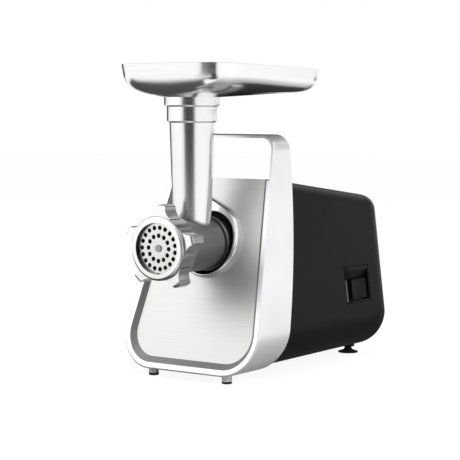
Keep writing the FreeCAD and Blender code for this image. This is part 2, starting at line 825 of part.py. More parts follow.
def cutting_plate():
    """Perforated disc: two rings of holes, a hole for the spindle and a notch for the barrel's key."""
    made = body("cutting_plate")
    low, high = "nut_front + nut_lip", "nut_front + nut_lip + plate_thick"
    pad(made, "XZ", low, high, ("0", "0", "plate_r"), ("0", "0", "spindle_r + 0.1"), at=("0", "head_z"))
    for radius, count, turned in (("outer_ring", 19, "85.5"), ("inner_ring", 12, "89")):
        one = sector_circle(radius, turned, "plate_hole")
        hole = cut(made, "XZ", f"{low} - 1", f"{high} + 1", one, at=("0", "head_z"))
        doc.recompute()
        around(made, hole, count)
    notch = box("-1.8", "-plate_r - 1", "1.8", "-plate_r + 2.4")
    cut(made, "XZ", f"{low} - 1", f"{high} + 1", notch, at=("0", "head_z"))
    return made


def ring_nut():
    """Screwed ring with five grip lugs that clamps the cutting plate."""
    made = body("ring_nut")
    thread, seat = "mouth_r + 0.3", "nut_front + nut_lip"
    ring = [("nut_front", "nut_hole"), ("nut_front", "nut_r - nut_round", "-nut_round")]
    ring += [("nut_front + nut_round", "nut_r"), ("nut_back", "nut_r"), ("nut_back", thread)]
    ring += [(seat, thread), (seat, "nut_hole")]
    turn(made, "Y", ("0", "head_z"), ring)
    tip = "nut_lug_r - 2.2"
    lug = [("nut_r - 2", "-12.5", "-13"), (tip, "-4.8", "2.6"), ("nut_lug_r", "-2.4")]
    lug += [("nut_lug_r", "2.4", "2.6"), (tip, "4.8", "-13"), ("nut_r - 2", "12.5")]
    face = "nut_front + nut_step"
    grip = pad(made, "XZ", face, "nut_back - 2.5", lug_turned(lug, "nut_lug_turn"), at=("0", "head_z"))
    doc.recompute()
    around(made, grip, 5)
    cut(made, "XZ", "nut_front - 1", f"{seat} + 1", ("0", "0", "nut_hole"), at=("0", "head_z"))
    cut(made, "XZ", seat, "nut_back + 1", ("0", "0", thread), at=("0", "head_z"))
    out, low = "nut_lug_r + 3", "nut_lug_r - nut_edge"
    behind, ahead = f"{face} + nut_edge", f"{face} - 1"
    edge = [(face, low, "-nut_edge"), (behind, "nut_lug_r"), (behind, out), (ahead, out), (ahead, low)]
    turn(made, "Y", ("0", "head_z"), edge, kind="Groove")
    return made


def lug_turned(corners, angle):
    """Corners turned about the origin by an angle in degrees."""
    turned = []
    for corner in corners:
        x, z = corner[0], corner[1]
        moved = (f"({x})*cos({angle}) - ({z})*sin({angle})", f"({x})*sin({angle}) + ({z})*cos({angle})")
        turned.append(moved + corner[2:])
    return turned


def tray_points(half, near, far, radius):
    """Points (x, y) round a rectangle with rounded corners, seen from above."""
    turns, runs = 8, 12
    inner_x, inner_near, inner_far = half - radius, near + radius, far - radius
    middles = [(inner_x, inner_far), (-inner_x, inner_far), (-inner_x, inner_near), (inner_x, inner_near)]
    arcs = []
    for i, (x, y) in enumerate(middles):
        ways = [math.radians(90 * (i + step / turns)) for step in range(turns + 1)]
        arcs.append([(x + radius * math.cos(w), y + radius * math.sin(w)) for w in ways])
    points = []
    for i, arc in enumerate(arcs):
        (x0, y0), (x1, y1) = arc[-1], arcs[(i + 1) % 4][0]
        shares = [step / runs for step in range(1, runs)]
        points += arc + [(x0 + (x1 - x0) * s, y0 + (y1 - y0) * s) for s in shares]
    return points


def ring_through(points):
    """Closed smooth curve through points."""
    curve = Part.BSplineCurve()
    curve.interpolate(Points=points, PeriodicFlag=True)
    return Part.Wire(curve.toShape())


def tray_form(wall, top):
    """Solid inside the tray's outer skin, or inside a wall's thickness of it, up to a height."""
    half, near, far = size("tray_half") - wall, size("tray_front") + wall, size("tray_back") - wall
    throat, foot_z = size("flange_r") - 1 - wall, size("tube_top + tray_lift") + wall
    front_z, back_z = size("tray_front_z") + wall, size("tray_back_z") + wall
    reach = size("tray_bend") - wall / 2
    foot = [Vector(x, y, foot_z) for x, y in tray_points(throat, -throat, throat, throat - 1)]
    corner = []
    for x, y in tray_points(half, near, far, size("tray_round") - wall):
        corner.append(Vector(x, y, back_z + (front_z - back_z) * ((far - y) / (far - near)) ** 4))

    def bend(share):
        """Ring at a share of the way round the bend from the floor to the wall."""
        ring = []
        for low, turn in zip(foot, corner):
            inward = low - turn
            start = turn + inward * min(0.6, reach / inward.Length)
            end = turn + Vector(0, 0, reach)
            ring.append(start * (1 - share) ** 2 + turn * (2 * share * (1 - share)) + end * share**2)
        return ring_through(ring)

    fall = size("tray_rim_fall")
    low, high = ring_through(foot), ring_through([Vector(p.x, p.y, top - fall * p.y) for p in corner])
    skin = [Part.makeLoft([low, bend(0)], False, True), Part.makeLoft([bend(1), high], False, True)]
    skin.append(Part.makeLoft([bend(s) for s in (0, 0.25, 0.5, 0.75, 1)], False, False))
    faces = [face for shell in skin for face in shell.Faces] + [Part.Face(low), Part.Face(high)]
    closed = Part.Shell(faces)
    closed.sewShape()
    return Part.Solid(closed)


def feed_tray():
    """Pressed tray on top of the tube: a funnel floor, rounded walls, and a neck that plugs into the tube."""
    rim, wall = size("tray_rim"), size("tray_wall")
    floor, low, outer = size("tube_top"), size("collar_z + 4"), size("neck_outer")
    pan = tray_form(0, rim).cut(tray_form(wall, rim + 5))
    seat = Part.makeCylinder(size("flange_r"), size("tray_seat"), Vector(0, 0, floor))
    neck = Part.makeCylinder(outer, floor + 1 - low, Vector(0, 0, low))
    bore = Part.makeCylinder(outer - wall, rim - low, Vector(0, 0, low - 5))
    return freeform("feed_tray", pan.fuse([seat, neck]).cut(bore))


# Drive


def gear_outline(teeth, module, phase):
    """Points round a spur gear: straight flanks between points of a 25 degree involute, with backlash."""
    pressure = math.radians(25)
    pitch_r = module * teeth / 2
    base = pitch_r * math.cos(pressure)
    tip, root = pitch_r + 0.8 * module, pitch_r - 1.1 * module
    low = max(base, root)

    def half_width(radius):
        slant = math.acos(base / radius)
        rolled = math.tan(slant) - slant
        return 0.46 * math.pi / teeth + math.tan(pressure) - pressure - rolled

    flank = [(root, half_width(low))] if root < base - 0.05 else []
    flank += [(low, half_width(low)), (tip, half_width(tip))]
    points = []
    for tooth in range(teeth):
        centre = phase + 2 * math.pi * tooth / teeth
        points += [(r, centre - w) for r, w in flank] + [(r, centre + w) for r, w in reversed(flank)]
    return [Vector(r * math.cos(a), 0, r * math.sin(a)) for r, a in points]


def gear(place, teeth, module, phase, near, wide, bore):
    """Spur gear on an axis along Y, from a depth to the back, with a plain bore."""
    middle = place + Vector(0, near, 0)
    points = [middle + p for p in gear_outline(teeth, module, phase)]
    rim = Part.Face(Part.makePolygon(points + points[:1]))
    hole = Part.Face(Part.Wire(Part.makeCircle(bore, middle, Vector(0, 1, 0))))
    return rim.cut(hole).extrude(Vector(0, wide, 0))


STAGES = ((9, 45, 1.1, 93.0, 8.0), (10, 40, 1.25, 81.0, 10.0), (10, 42, 1.75, 63.0, 16.0))


def axes():
    """Places (x, z) of the motor, first, second and output axes of the gear train."""
    spans = [module * (small + large) / 2 for small, large, module, _, _ in STAGES]
    motor, output = Vector(0, 0, size("motor_z")), Vector(0, 0, size("head_z"))
    second_x = size("second_x")
    second = Vector(second_x, 0, output.z - math.sqrt(spans[2] ** 2 - second_x**2))
    across = second - motor
    along = (spans[0] ** 2 - spans[1] ** 2 + across.Length**2) / (2 * across.Length)
    beside = math.sqrt(spans[0] ** 2 - along**2)
    unit = across.normalize()
    first = motor + unit * along + Vector(unit.z, 0, -unit.x) * beside
    return motor, first, second, output


def mesh_phase(one, other, phase, small, large):
    """Turn of a gear at other whose gaps take the teeth of the gear at one."""
    aim = math.atan2(other.z - one.z, other.x - one.x)
    tooth = (aim - phase) * small / (2 * math.pi)
    return aim + math.pi - (0.5 - tooth) * 2 * math.pi / large


def gear_train():
    """Motor pinion, two compound gears and the output gear, set so that their teeth mesh."""
    places = axes()
    phase = 0.0
    made = [None] * 4
    labels = ("motor_pinion", "first_gear", "second_gear", "output_gear")
    on_axle = size("axle_r + running")
    bores = (size("pinion_shaft_r"), on_axle, on_axle, size("output_r"))
    for stage, (small, large, module, near, wide) in enumerate(STAGES):
        place, other = places[stage], places[stage + 1]
        driver = gear(place, small, module, phase, near, wide, bores[stage])
        if stage:
            hub_from, hub_to = near + wide, STAGES[stage - 1][3]
            hub = tube(place + Vector(0, hub_from, 0), hub_to - hub_from, bores[stage], 7)
            driver = driver.fuse([made[stage], hub]).removeSplitter()
        made[stage] = driver
        phase = mesh_phase(place, other, phase, small, large)
        made[stage + 1] = gear(other, large, module, phase, near, wide, bores[stage + 1])
    for label, shape in zip(labels, made):
        freeform(label, shape)


def tube(start, length, inner, outer):
    """Plain tube along Y."""
    along = Vector(0, 1, 0)
    return Part.makeCylinder(outer, length, start, along).cut(Part.makeCylinder(inner, length, start, along))


def case_outline():
    """Front outline of the gearbox, round all four axes."""
    low, high = "motor_z - 13", "head_z + 45"
    return [
        ("-30", low),
        ("32", low),
        ("45", "motor_z + 2"),
        ("45", "head_z + 30"),
        ("36", high),
        ("-38", high),
        ("-59", "head_z - 8"),
        ("-59", "motor_z + 2"),
    ]


def case_posts():
    """Places of the four screw posts of the gearbox."""
    return [("37.5", "head_z + 31"), ("-37", "head_z + 31"), ("38", "head_z - 26"), ("-52", "motor_z + 6")]


def gearbox_case():
    """Die-cast cup that holds the gears, with axle seats, a bearing boss and screw posts."""
    _, first, second, _ = axes()
    made = body("gearbox_case")
    rim = "case_y + case_deep"
    pad(made, "XZ", "case_y", rim, case_outline())
    hollow(made, "case_wall", ("0", rim, "head_z"))
    pad(made, "XZ", "case_y + 2", rim, *[(x, z, "5") for x, z in case_posts()])
    pad(made, "XZ", "case_y - 3.5", "case_y + 1", ("0", "head_z", "14"))
    cut(made, "XZ", "case_y - 5", "case_y + 5", ("0", "head_z", "output_bush_r"))
    cut(made, "XZ", f"{rim} - 16", f"{rim} + 1", *[(x, z, "gear_screw_r + 0.05") for x, z in case_posts()])
    seats = [(str(p.x), str(p.z), "axle_r") for p in (first, second)]
    cut(made, "XZ", "case_y + 1.5", "case_y + 5", *seats)
    drilled = sector_circle("socket_screw_at", "45", "socket_screw_r + 0.05")
    hole = cut(made, "XZ", "case_y - 2", "case_y + 5", drilled, at=("0", "head_z"))
    doc.recompute()
    around(made, hole, 4)
    return made


def gearbox_cover():
    """Plate that closes the gearbox towards the motor."""
    _, first, second, _ = axes()
    made = body("gearbox_cover")
    low = "case_y + case_deep"
    for loop in (case_outline(), motor_square()):
        pad(made, "XZ", low, f"{low} + cover_thick", loop)
    through(made, "XZ", *[(x, z, "gear_screw_r + 0.05") for x, z in case_posts()])
    through(made, "XZ", ("0", "head_z", "output_bush_r"), ("0", "motor_z", "bearing_r - 0.5"))
    seats = [(str(p.x), str(p.z), "axle_r") for p in (first, second)]
    cut(made, "XZ", f"{low} - 1", f"{low} + 2.5", *seats)
    through(made, "XZ", *bolt_holes())
    return made


def gearbox_screws():
    """Four screws through the cover into the posts of the case."""
    one = screw("gearbox_screw", "Y", "-1", ("3.8", "2.6"), ("gear_screw_r", "cover_thick + 14"))
    back = "case_y + case_deep + cover_thick"
    return copies("gearbox_screws", one, [(x, back, z) for x, z in case_posts()])


def axle(label, place):
    """Fixed steel axle between the case and the cover."""
    made = body(label)
    run = [("case_y + 1.5", "0"), ("case_y + 1.5", "axle_r"), ("case_y + case_deep + 2.5", "axle_r")]
    run += [("case_y + case_deep + 2.5", "0")]
    turn(made, "Y", (str(place.x), str(place.z)), run)
    return made


def output_line():
    """Output shaft, its two bushes and the coupler that drives the auger."""
    rim = "case_y + case_deep"
    shaft = body("output_shaft")
    run = [("case_y - 8", "0"), ("case_y - 8", "5"), ("case_y - 4", "5"), ("case_y - 4", "output_r")]
    run += [(f"{rim} + cover_thick", "output_r"), (f"{rim} + cover_thick", "0")]
    turn(shaft, "Y", ("0", "head_z"), run)
    bushes = body("output_bushes")
    for near, far in (("case_y - 3.5", "case_y + case_wall"), (rim, f"{rim} + cover_thick")):
        turn(bushes, "Y", ("0", "head_z"), box(near, "output_r + running", far, "output_bush_r"))
    coupler = body("drive_coupler")
    near, far, inside = "case_y - 13", "case_y - 4", "case_y - 8"
    cup = [(near, "0"), (near, "coupler_r"), (far, "coupler_r"), (far, "5"), (inside, "5"), (inside, "0")]
    turn(coupler, "Y", ("0", "head_z"), cup)
    half = "tail_square/2 + 0.1"
    cut(coupler, "XZ", f"{near} - 1", inside, centred("0", "0", half, half), at=("0", "head_z"))


def bolt_spots():
    """Places of the four long motor bolts."""
    reach = "stator_half - 8"
    return [(f"{a}({reach})", f"motor_z {b} ({reach})") for a in ("", "-") for b in ("-", "+")]


def bolt_holes():
    """Circles that let the motor bolts through."""
    return [(x, z, "bolt_r + 0.05") for x, z in bolt_spots()]


MOTOR_FRONT = "(case_y + case_deep + cover_thick)"
STATOR_FRONT = "(case_y + case_deep + cover_thick + 13)"
STATOR_BACK = "(case_y + case_deep + cover_thick + 13 + stator_long)"
BRACKET_BACK = "(case_y + case_deep + cover_thick + 37 + stator_long)"


def motor_square():
    """Front outline of the motor: a square with its corners cut off."""
    half, corner = "stator_half", "(stator_half - 10)"
    corners = []
    for a, b in (("-", "-"), ("", "-"), ("", ""), ("-", "")):
        wide, tall = (f"{a}{corner}", f"{b}{half}"), (f"{a}{half}", f"{b}{corner}")
        corners += [wide, tall] if (a == "") != (b == "") else [tall, wide]
    return [(x, f"motor_z + {z}") for x, z in corners]


def motor_brackets():
    """Front and rear end brackets with pillars that reach the stator's corners."""
    for label, plate, pillars in (
        ("motor_front_bracket", (MOTOR_FRONT, f"{MOTOR_FRONT} + 8"), (f"{MOTOR_FRONT} + 7", STATOR_FRONT)),
        ("motor_rear_bracket", (BRACKET_BACK, f"{BRACKET_BACK} + 6"), (STATOR_BACK, f"{BRACKET_BACK} + 1")),
    ):
        made = body(label)
        pad(made, "XZ", *plate, motor_square())
        pad(made, "XZ", *pillars, *[(x, z, "5.5") for x, z in bolt_spots()])
        through(made, "XZ", ("0", "motor_z", "bearing_r"), *bolt_holes())
        heights = ("motor_z + 26", "motor_z - 26")
        through(made, "XZ", *[centred(x, z, "7", "5") for x in ("22", "-22") for z in heights])


def stator():
    """Laminated core with two poles, and a coil round each pole."""
    core = body("stator_core")
    pad(core, "XZ", STATOR_FRONT, STATOR_BACK, motor_square())
    through(core, "XZ", ("0", "motor_z", "rotor_r + 0.7"), *bolt_holes())
    slots = []
    for x in ("-31", "31"):
        slots += [centred(x, f"motor_z {way} 18.6", "4.8", "3.8") for way in ("+", "-")]
    through(core, "XZ", *slots)
    coil = body("field_coil")
    pad(coil, "YZ", "26.4", "35.6", coil_loop("4", "22.2"), coil_loop("0", "15"))
    pair("field_coils", coil)


def coil_loop(past, half):
    """Side outline of a coil that passes the ends of the stator by an amount."""
    near, far = f"{STATOR_FRONT} - {past}", f"{STATOR_BACK} + {past}"
    return box(near, f"motor_z - {half}", far, f"motor_z + {half}")


def armature():
    """Everything on the motor shaft behind the pinion."""
    at = ("0", "motor_z")
    shaft = body("armature_shaft")
    tip, step = "case_y + 34", "case_y + case_deep - 2"
    run = [(tip, "0"), (tip, "pinion_shaft_r"), (step, "pinion_shaft_r"), (step, "axle_r")]
    run += [(f"{BRACKET_BACK} + 22", "axle_r"), (f"{BRACKET_BACK} + 22", "0")]
    turn(shaft, "Y", at, run)
    core = body("armature_core")
    turn(core, "Y", at, box(STATOR_FRONT, "axle_r", STATOR_BACK, "rotor_r"))
    slit = box("-1.2", "rotor_r - 7", "1.2", "rotor_r + 6")
    groove = cut(core, "XZ", f"{STATOR_FRONT} - 1", f"{STATOR_BACK} + 1", slit, at=at)
    doc.recompute()
    around(core, groove, 12)
    winding = body("armature_winding")
    for near, far in ((STATOR_FRONT, f"{STATOR_FRONT} - 3.5"), (STATOR_BACK, f"{STATOR_BACK} + 6")):
        cone = [(near, "axle_r"), (near, "rotor_r - 3.4"), (far, "rotor_r - 6"), (far, "axle_r")]
        turn(winding, "Y", at, cone)
    ring = body("commutator")
    turn(ring, "Y", at, box(f"{STATOR_BACK} + 8", "axle_r", f"{STATOR_BACK} + 19", "commutator_r"))
    fan = body("cooling_fan")
    near = f"{BRACKET_BACK} + 9"
    hub = [(near, "axle_r"), (near, "fan_r"), (f"{near} + 1.8", "fan_r"), (f"{near} + 1.8", "9")]
    hub += [(f"{near} + 11", "9"), (f"{near} + 11", "axle_r")]
    turn(fan, "Y", at, hub)
    vane = [("8", "-1"), ("fan_r - 1", "5"), ("fan_r - 1", "6.6"), ("8", "0.8")]
    blade = pad(fan, "XZ", f"{near} + 1", f"{near} + 10", vane, at=at)
    doc.recompute()
    around(fan, blade, 9)


def motor_fittings():
    """Bearings, bolts, brush holders, carbon brushes and the cushion under the motor."""
    at = ("0", "motor_z")
    bearings = body("motor_bearings")
    for near, far in ((f"{MOTOR_FRONT} + 1", f"{MOTOR_FRONT} + 8"), (BRACKET_BACK, f"{BRACKET_BACK} + 6")):
        turn(bearings, "Y", at, box(near, "axle_r + running", far, "bearing_r"))
    bolt = body("motor_bolt")
    long = f"{BRACKET_BACK} + 6 - (case_y + case_deep + 1)"
    run = [(f"-({long})", "0"), (f"-({long})", "bolt_r"), ("0", "bolt_r")]
    run += [("0", "4"), ("2.6", "4"), ("2.6", "0")]
    turn(bolt, "Y", ("0", "0"), run)
    copies("motor_bolts", bolt, [(x, f"{BRACKET_BACK} + 6", z) for x, z in bolt_spots()])
    holder = body("brush_holder")
    middle = f"{STATOR_BACK} + 13.5"
    pad(holder, "XZ", f"{STATOR_BACK} + 8", BRACKET_BACK, centred("24", "motor_z", "10", "6"))
    cut(holder, "YZ", "10", "40", centred(middle, "motor_z", "3.1", "4.1"))
    pair("brush_holders", holder)
    brush = body("carbon_brush")
    pad(brush, "YZ", "commutator_r + 0.3", "27", centred(middle, "motor_z", "3", "4"))
    pair("carbon_brushes", brush)
    cushion = body("motor_cushion")
    floor = "housing_low + shell + base_thick"
    under = box("-25", f"{STATOR_FRONT} + 8", "25", f"{STATOR_BACK} - 7")
    pad(cushion, "XY", floor, "motor_z - stator_half", under)


# Switch and cord gland


def on_side(label):
    """Body drawn flat on the switch side: x is out of the wall, y to the back, z up along the wall."""
    made = body(label)
    made.Placement.Rotation = Rotation(Vector(0, 1, 0), -math.degrees(math.atan(size("side_slope"))))
    made.setExpression("Placement.Base.x", bound(side("switch_z")))
    made.setExpression("Placement.Base.y", bound(f"switch_y + {SHIFT}"))
    made.setExpression("Placement.Base.z", bound("switch_z"))
    return made


def switch_surround():
    """Insert in the housing wall: a scooped recess with a window for the rocker."""
    made = on_side("switch_surround")
    half, tall, deep = "(switch_long/2 - 0.3)", "(switch_tall/2 - 0.4)", "switch_deep"
    pad(made, "YZ", f"-{deep} - 6", "-0.4", centred("0", "0", half, tall))
    low = f"-{tall} + 1.5"
    ledge = "rocker_tall - switch_tall/2 + 4"
    ramp = [("0", f"-{half} + 1.5"), (f"-{deep}", f"-{half} + 1.5 + switch_ramp")]
    ramp += [(f"-{deep}", f"{half} - 1.5"), ("1", f"{half} - 1.5"), ("1", f"-{half} + 1.5")]
    cut(made, "XY", low, ledge, ramp)
    scoop = [("1", ledge), (f"-{deep}", ledge), ("1", f"{tall} - 1")]
    cut(made, "XZ", f"-{half} + 1.5", f"{half} - 1.5", scoop)
    window = centred("rocker_y", "rocker_z", "rocker_long/2 + rocker_gap", "rocker_tall/2 + 0.4")
    cut(made, "YZ", f"-{deep} - 8", "2", window)
    reach = "rocker_tall/2 + 2"
    pivot = (f"-{deep} - 2.5", "rocker_y", "rocker_pin + running")
    cut(made, "XY", f"rocker_z - ({reach})", f"rocker_z + {reach}", pivot)
    return made


def rocker_switch():
    """Three-position rocker on an upright pin, its face bent along the middle."""
    made = on_side("rocker_switch")
    deep, half = "switch_deep", "rocker_long/2"
    near, far = f"rocker_y - {half}", f"rocker_y + {half}"
    shape = [(f"-{deep} - 1.5", near), (f"-{deep} - 4", "rocker_y"), (f"-{deep} - 1.5", far)]
    shape += [(f"-{deep} + 3.6", far), (f"-{deep} + 1.8", "rocker_y"), (f"-{deep} + 3.6", near)]
    pin = (f"-{deep} - 2.5", "rocker_y", "rocker_pin")
    for reach, loop in (("rocker_tall/2", shape), ("rocker_tall/2 + 1.8", pin)):
        pad(made, "XY", f"rocker_z - ({reach})", f"rocker_z + {reach}", loop)
    return made


def switch_block():
    """Electrical switch behind the rocker."""
    made = on_side("switch_block")
    pad(made, "YZ", "-switch_deep - 24", "-switch_deep - 6", centred("0", "-3", "20", "13"))
    return made


def cord_gland():
    """Bush for the mains lead, flush with the back of the housing."""
    made = body("cord_gland")
    back = "housing_back"
    wall, end, outer = f"{back} - shell", f"{back} - shell - 8", "gland_r - 0.1"
    ring = [(back, "3.6"), (back, outer), (wall, outer), (wall, "gland_r + 3")]
    ring += [(f"{wall} - 2", "gland_r + 3"), (end, "gland_r - 1"), (end, "3.6")]
    turn(made, "Y", ("gland_x", "gland_z"), ring)
    return made


def build():
    """Make every piece."""
    front_frame()
    front_panel()
    panel_strip()
    head_bezel()
    head_socket()
    socket_screws()
    lock_button()
    rear_housing()
    base_plate()
    base_screws()
    front_feet()
    rear_feet()
    grinder_head()
    auger()
    auger_bush()
    knife()
    cutting_plate()
    ring_nut()
    feed_tray()
    gear_train()
    gearbox_case()
    gearbox_cover()
    gearbox_screws()
    _, first, second, _ = axes()
    axle("first_axle", first)
    axle("second_axle", second)
    output_line()
    motor_brackets()
    stator()
    armature()
    motor_fittings()
    switch_surround()
    rocker_switch()
    switch_block()
    cord_gland()


def write():
    """Check every object and write one STEP file for each piece."""
    doc.recompute()
    faults = [o.Label for o in doc.Objects if "Invalid" in o.State or "Error" in o.State]
    faults += [n.Label for n in NODES if n.Shape.isNull() or not n.Shape.isValid()]
    if faults:
        raise RuntimeError("pieces with faults: " + ", ".join(faults))
    os.makedirs("parts", exist_ok=True)
    for node in NODES:
        node.Shape.exportStep(f"parts/{node.Label}.step")


build()
write()
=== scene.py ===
"""Looks of an electric meat grinder on a white studio sweep.

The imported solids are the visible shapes, apart from the feed tray, which is pressed anew here. Every finish
is procedural: its pattern is laid out in millimetres of the part's own frame, so it stays on a piece when
the piece moves.
"""
import logging
import math
from dataclasses import dataclass, field
from enum import Enum
from typing import Optional, Union

import bmesh
import bpy
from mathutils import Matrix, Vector


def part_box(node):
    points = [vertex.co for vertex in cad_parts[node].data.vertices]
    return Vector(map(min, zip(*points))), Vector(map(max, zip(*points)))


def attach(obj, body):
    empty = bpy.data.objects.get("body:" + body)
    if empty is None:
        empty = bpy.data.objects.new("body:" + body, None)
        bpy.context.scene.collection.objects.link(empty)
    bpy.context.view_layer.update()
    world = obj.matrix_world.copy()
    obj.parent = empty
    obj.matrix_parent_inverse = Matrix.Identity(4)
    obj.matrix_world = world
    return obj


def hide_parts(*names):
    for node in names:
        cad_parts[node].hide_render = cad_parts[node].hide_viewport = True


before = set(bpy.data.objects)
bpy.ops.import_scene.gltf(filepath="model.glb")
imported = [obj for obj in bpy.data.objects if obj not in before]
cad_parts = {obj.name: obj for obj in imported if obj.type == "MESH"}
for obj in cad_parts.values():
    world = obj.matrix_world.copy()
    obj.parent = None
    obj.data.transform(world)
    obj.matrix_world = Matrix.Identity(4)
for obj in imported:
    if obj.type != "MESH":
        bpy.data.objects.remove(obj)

log = logging.getLogger("meat_grinder")

MM = 0.001
# An sRGB value is a straight line up to the end of its toe, and a power curve above it
TOE_END = 0.04045
TOE_SLOPE = 12.92
CURVE_OFFSET = 0.055
CURVE_POWER = 2.4
# Noise seldom leaves the middle of its range, so a shade is spread over that middle alone
CLOUD_SPAN = (0.35, 0.65)
MARK_SPAN = (0.3, 0.7)
# The lower half of a wave is the gap between two layers
GAP_SPAN = (0.5, 0.0)
# Keeps what lies across and up, and drops what lies deep
NO_DEPTH = (1.0, 0.0, 1.0)
# Middle of the object from front to back, in metres
MIDDLE_DEPTH = -0.1

Tree = bpy.types.NodeTree
Node = bpy.types.Node
Socket = bpy.types.NodeSocket
Key = Union[int, str]
Setting = Union[float, tuple, Socket]
Place = tuple[float, float, float]


class Way(Enum):
    """Direction in the part's own frame."""

    ACROSS = (1.0, 0.0, 0.0)
    DEEP = (0.0, 1.0, 0.0)
    UPRIGHT = (0.0, 0.0, 1.0)


def linear(colour: str) -> tuple[float, float, float, float]:
    """Turn a colour as it is seen on a screen into light values.

    Args:
        colour: sRGB hex value such as "#c8c8c8".

    Returns:
        Linear red, green, blue and an alpha of one.
    """
    shares = [int(colour[i:i + 2], 16) / 255 for i in (1, 3, 5)]
    light = [
        s / TOE_SLOPE if s <= TOE_END else ((s + CURVE_OFFSET) / (1 + CURVE_OFFSET)) ** CURVE_POWER
        for s in shares
    ]
    return (light[0], light[1], light[2], 1.0)


def add_node(tree: Tree, kind: str, inputs: Optional[dict[Key, Setting]] = None, **settings: str) -> Node:
    """Add a node with its settings and links.

    Args:
        tree: node tree that takes the node.
        kind: Blender's type name without the ShaderNode prefix.
        inputs: socket name or number to a value, or to the socket that feeds it.
        **settings: attributes of the node itself; they decide which sockets its names mean.

    Returns:
        The new node.
    """
    node = tree.nodes.new("ShaderNode" + kind)
    for name, value in settings.items():
        setattr(node, name, value)
    for key, value in (inputs or {}).items():
        if isinstance(value, Socket):
            tree.links.new(value, node.inputs[key])
        else:
            node.inputs[key].default_value = value
    return node


def bare_tree(owner: Union[bpy.types.Material, bpy.types.World]) -> Tree:
    """Switch a material's or a world's nodes on and clear them.

    Args:
        owner: material or world.

    Returns:
        Its empty node tree.
    """
    owner.use_nodes = True
    owner.node_tree.nodes.clear()
    return owner.node_tree


@dataclass(frozen=True)
class Skin:
    """Node tree of one material while its finish is laid on.

    Attributes:
        tree: node tree of the material.
        shader: principled shader that the finish feeds.
        in_mm: place on the piece, in millimetres of the part's frame.
    """

    tree: Tree
    shader: Node
    in_mm: Socket

    def feed(self, name: str, value: Socket) -> None:
        """Link a value to the shader's socket of that name."""
        self.tree.links.new(value, self.shader.inputs[name])

    def from_axis(self, centre_mm: tuple[float, float]) -> Socket:
        """Measure how far the surface is from an axis that runs from front to back.

        Args:
            centre_mm: place of the axis, across and up.

        Returns:
            Distance in millimetres.
        """
        axis = (centre_mm[0], 0.0, centre_mm[1])
        moved = add_node(self.tree, "VectorMath", {0: self.in_mm, 1: axis}, operation="SUBTRACT").outputs[0]
        flat = add_node(self.tree, "VectorMath", {0: moved, 1: NO_DEPTH}, operation="MULTIPLY").outputs[0]
        return add_node(self.tree, "VectorMath", {0: flat}, operation="LENGTH").outputs["Value"]

    def towards(self, way: Way) -> Socket:
        """Measure how much the surface faces one way.

        Args:
            way: direction in the part's frame.

        Returns:
            One where it faces that way, minus one where it faces away from it.
        """
        facing = add_node(self.tree, "TexCoord").outputs["Normal"]
        both = {0: facing, 1: way.value}
        return add_node(self.tree, "VectorMath", both, operation="DOT_PRODUCT").outputs["Value"]

    def relief(self, height: Socket, depth_mm: float) -> Socket:
        """Raise the surface by a pattern.

        Args:
            height: pattern, mostly from zero to one.
            depth_mm: height that a value of one stands for.

        Returns:
            Direction of the raised surface.
        """
        raised = {"Height": height, "Distance": depth_mm * MM, "Strength": 1.0}
        bump = add_node(self.tree, "Bump", raised).outputs[0]
        self.feed("Normal", bump)
        return bump


@dataclass(frozen=True)
class Finish:
    """A real material and how its surface was made.

    Attributes:
        name: material and process.
        colour: sRGB hex value of the surface.
        shade: sRGB hex value of the darker patches in it.
        roughness: mean roughness of the shader.
        metallic: one for bare metal, zero for plastic and rubber.
        specular: reflection of a non-metal, half for a plain plastic.
    """

    name: str
    colour: str
    shade: str
    roughness: float
    metallic: float = 0.0
    specular: float = 0.5

    def material(self) -> bpy.types.Material:
        """Make the material, or find the one made before under this name.

        Returns:
            The material.
        """
        known = bpy.data.materials.get(self.name)
        if known:
            return known
        made = bpy.data.materials.new(self.name)
        tree = bare_tree(made)
        even = {
            "Base Color": linear(self.colour),
            "Metallic": self.metallic,
            "Roughness": self.roughness,
            "Specular IOR Level": self.specular,
        }
        shader = add_node(tree, "BsdfPrincipled", even)
        place = add_node(tree, "TexCoord").outputs["Object"]
        in_mm = add_node(tree, "VectorMath", {0: place, "Scale": 1 / MM}, operation="SCALE").outputs[0]
        self.pattern(Skin(tree, shader, in_mm))
        add_node(tree, "OutputMaterial", {"Surface": shader.outputs[0]})
        made.diffuse_color = linear(self.colour)
        return made

    def pattern(self, skin: Skin) -> None:
        """Lay the pattern on the skin; each kind of finish has its own.

        Args:
            skin: node tree of the material.
        """

    def blend(self, skin: Skin, share: Socket, span: tuple[float, float] = (0.0, 1.0)) -> Socket:
        """Mix the shade into the colour.

        Args:
            skin: node tree of the material.
            share: pattern that the shade follows.
            span: the pattern's values at which none and all of the shade shows.

        Returns:
            The mixed colour.
        """
        shown = {"Value": share, "From Min": span[0], "From Max": span[1]}
        factor = add_node(skin.tree, "MapRange", shown).outputs[0]
        tones = {"Factor": factor, "A": linear(self.colour), "B": linear(self.shade)}
        mixed = add_node(skin.tree, "Mix", tones, data_type="RGBA").outputs["Result"]
        skin.feed("Base Color", mixed)
        return mixed

    def gloss(self, skin: Skin, share: Socket, spread: float) -> None:
        """Let the roughness wander about its mean.

        Args:
            skin: node tree of the material.
            share: pattern from zero to one.
            spread: whole width of the wander.
        """
        limits = {"To Min": self.roughness - spread / 2, "To Max": self.roughness + spread / 2}
        skin.feed("Roughness", add_node(skin.tree, "MapRange", {"Value": share, **limits}).outputs[0])


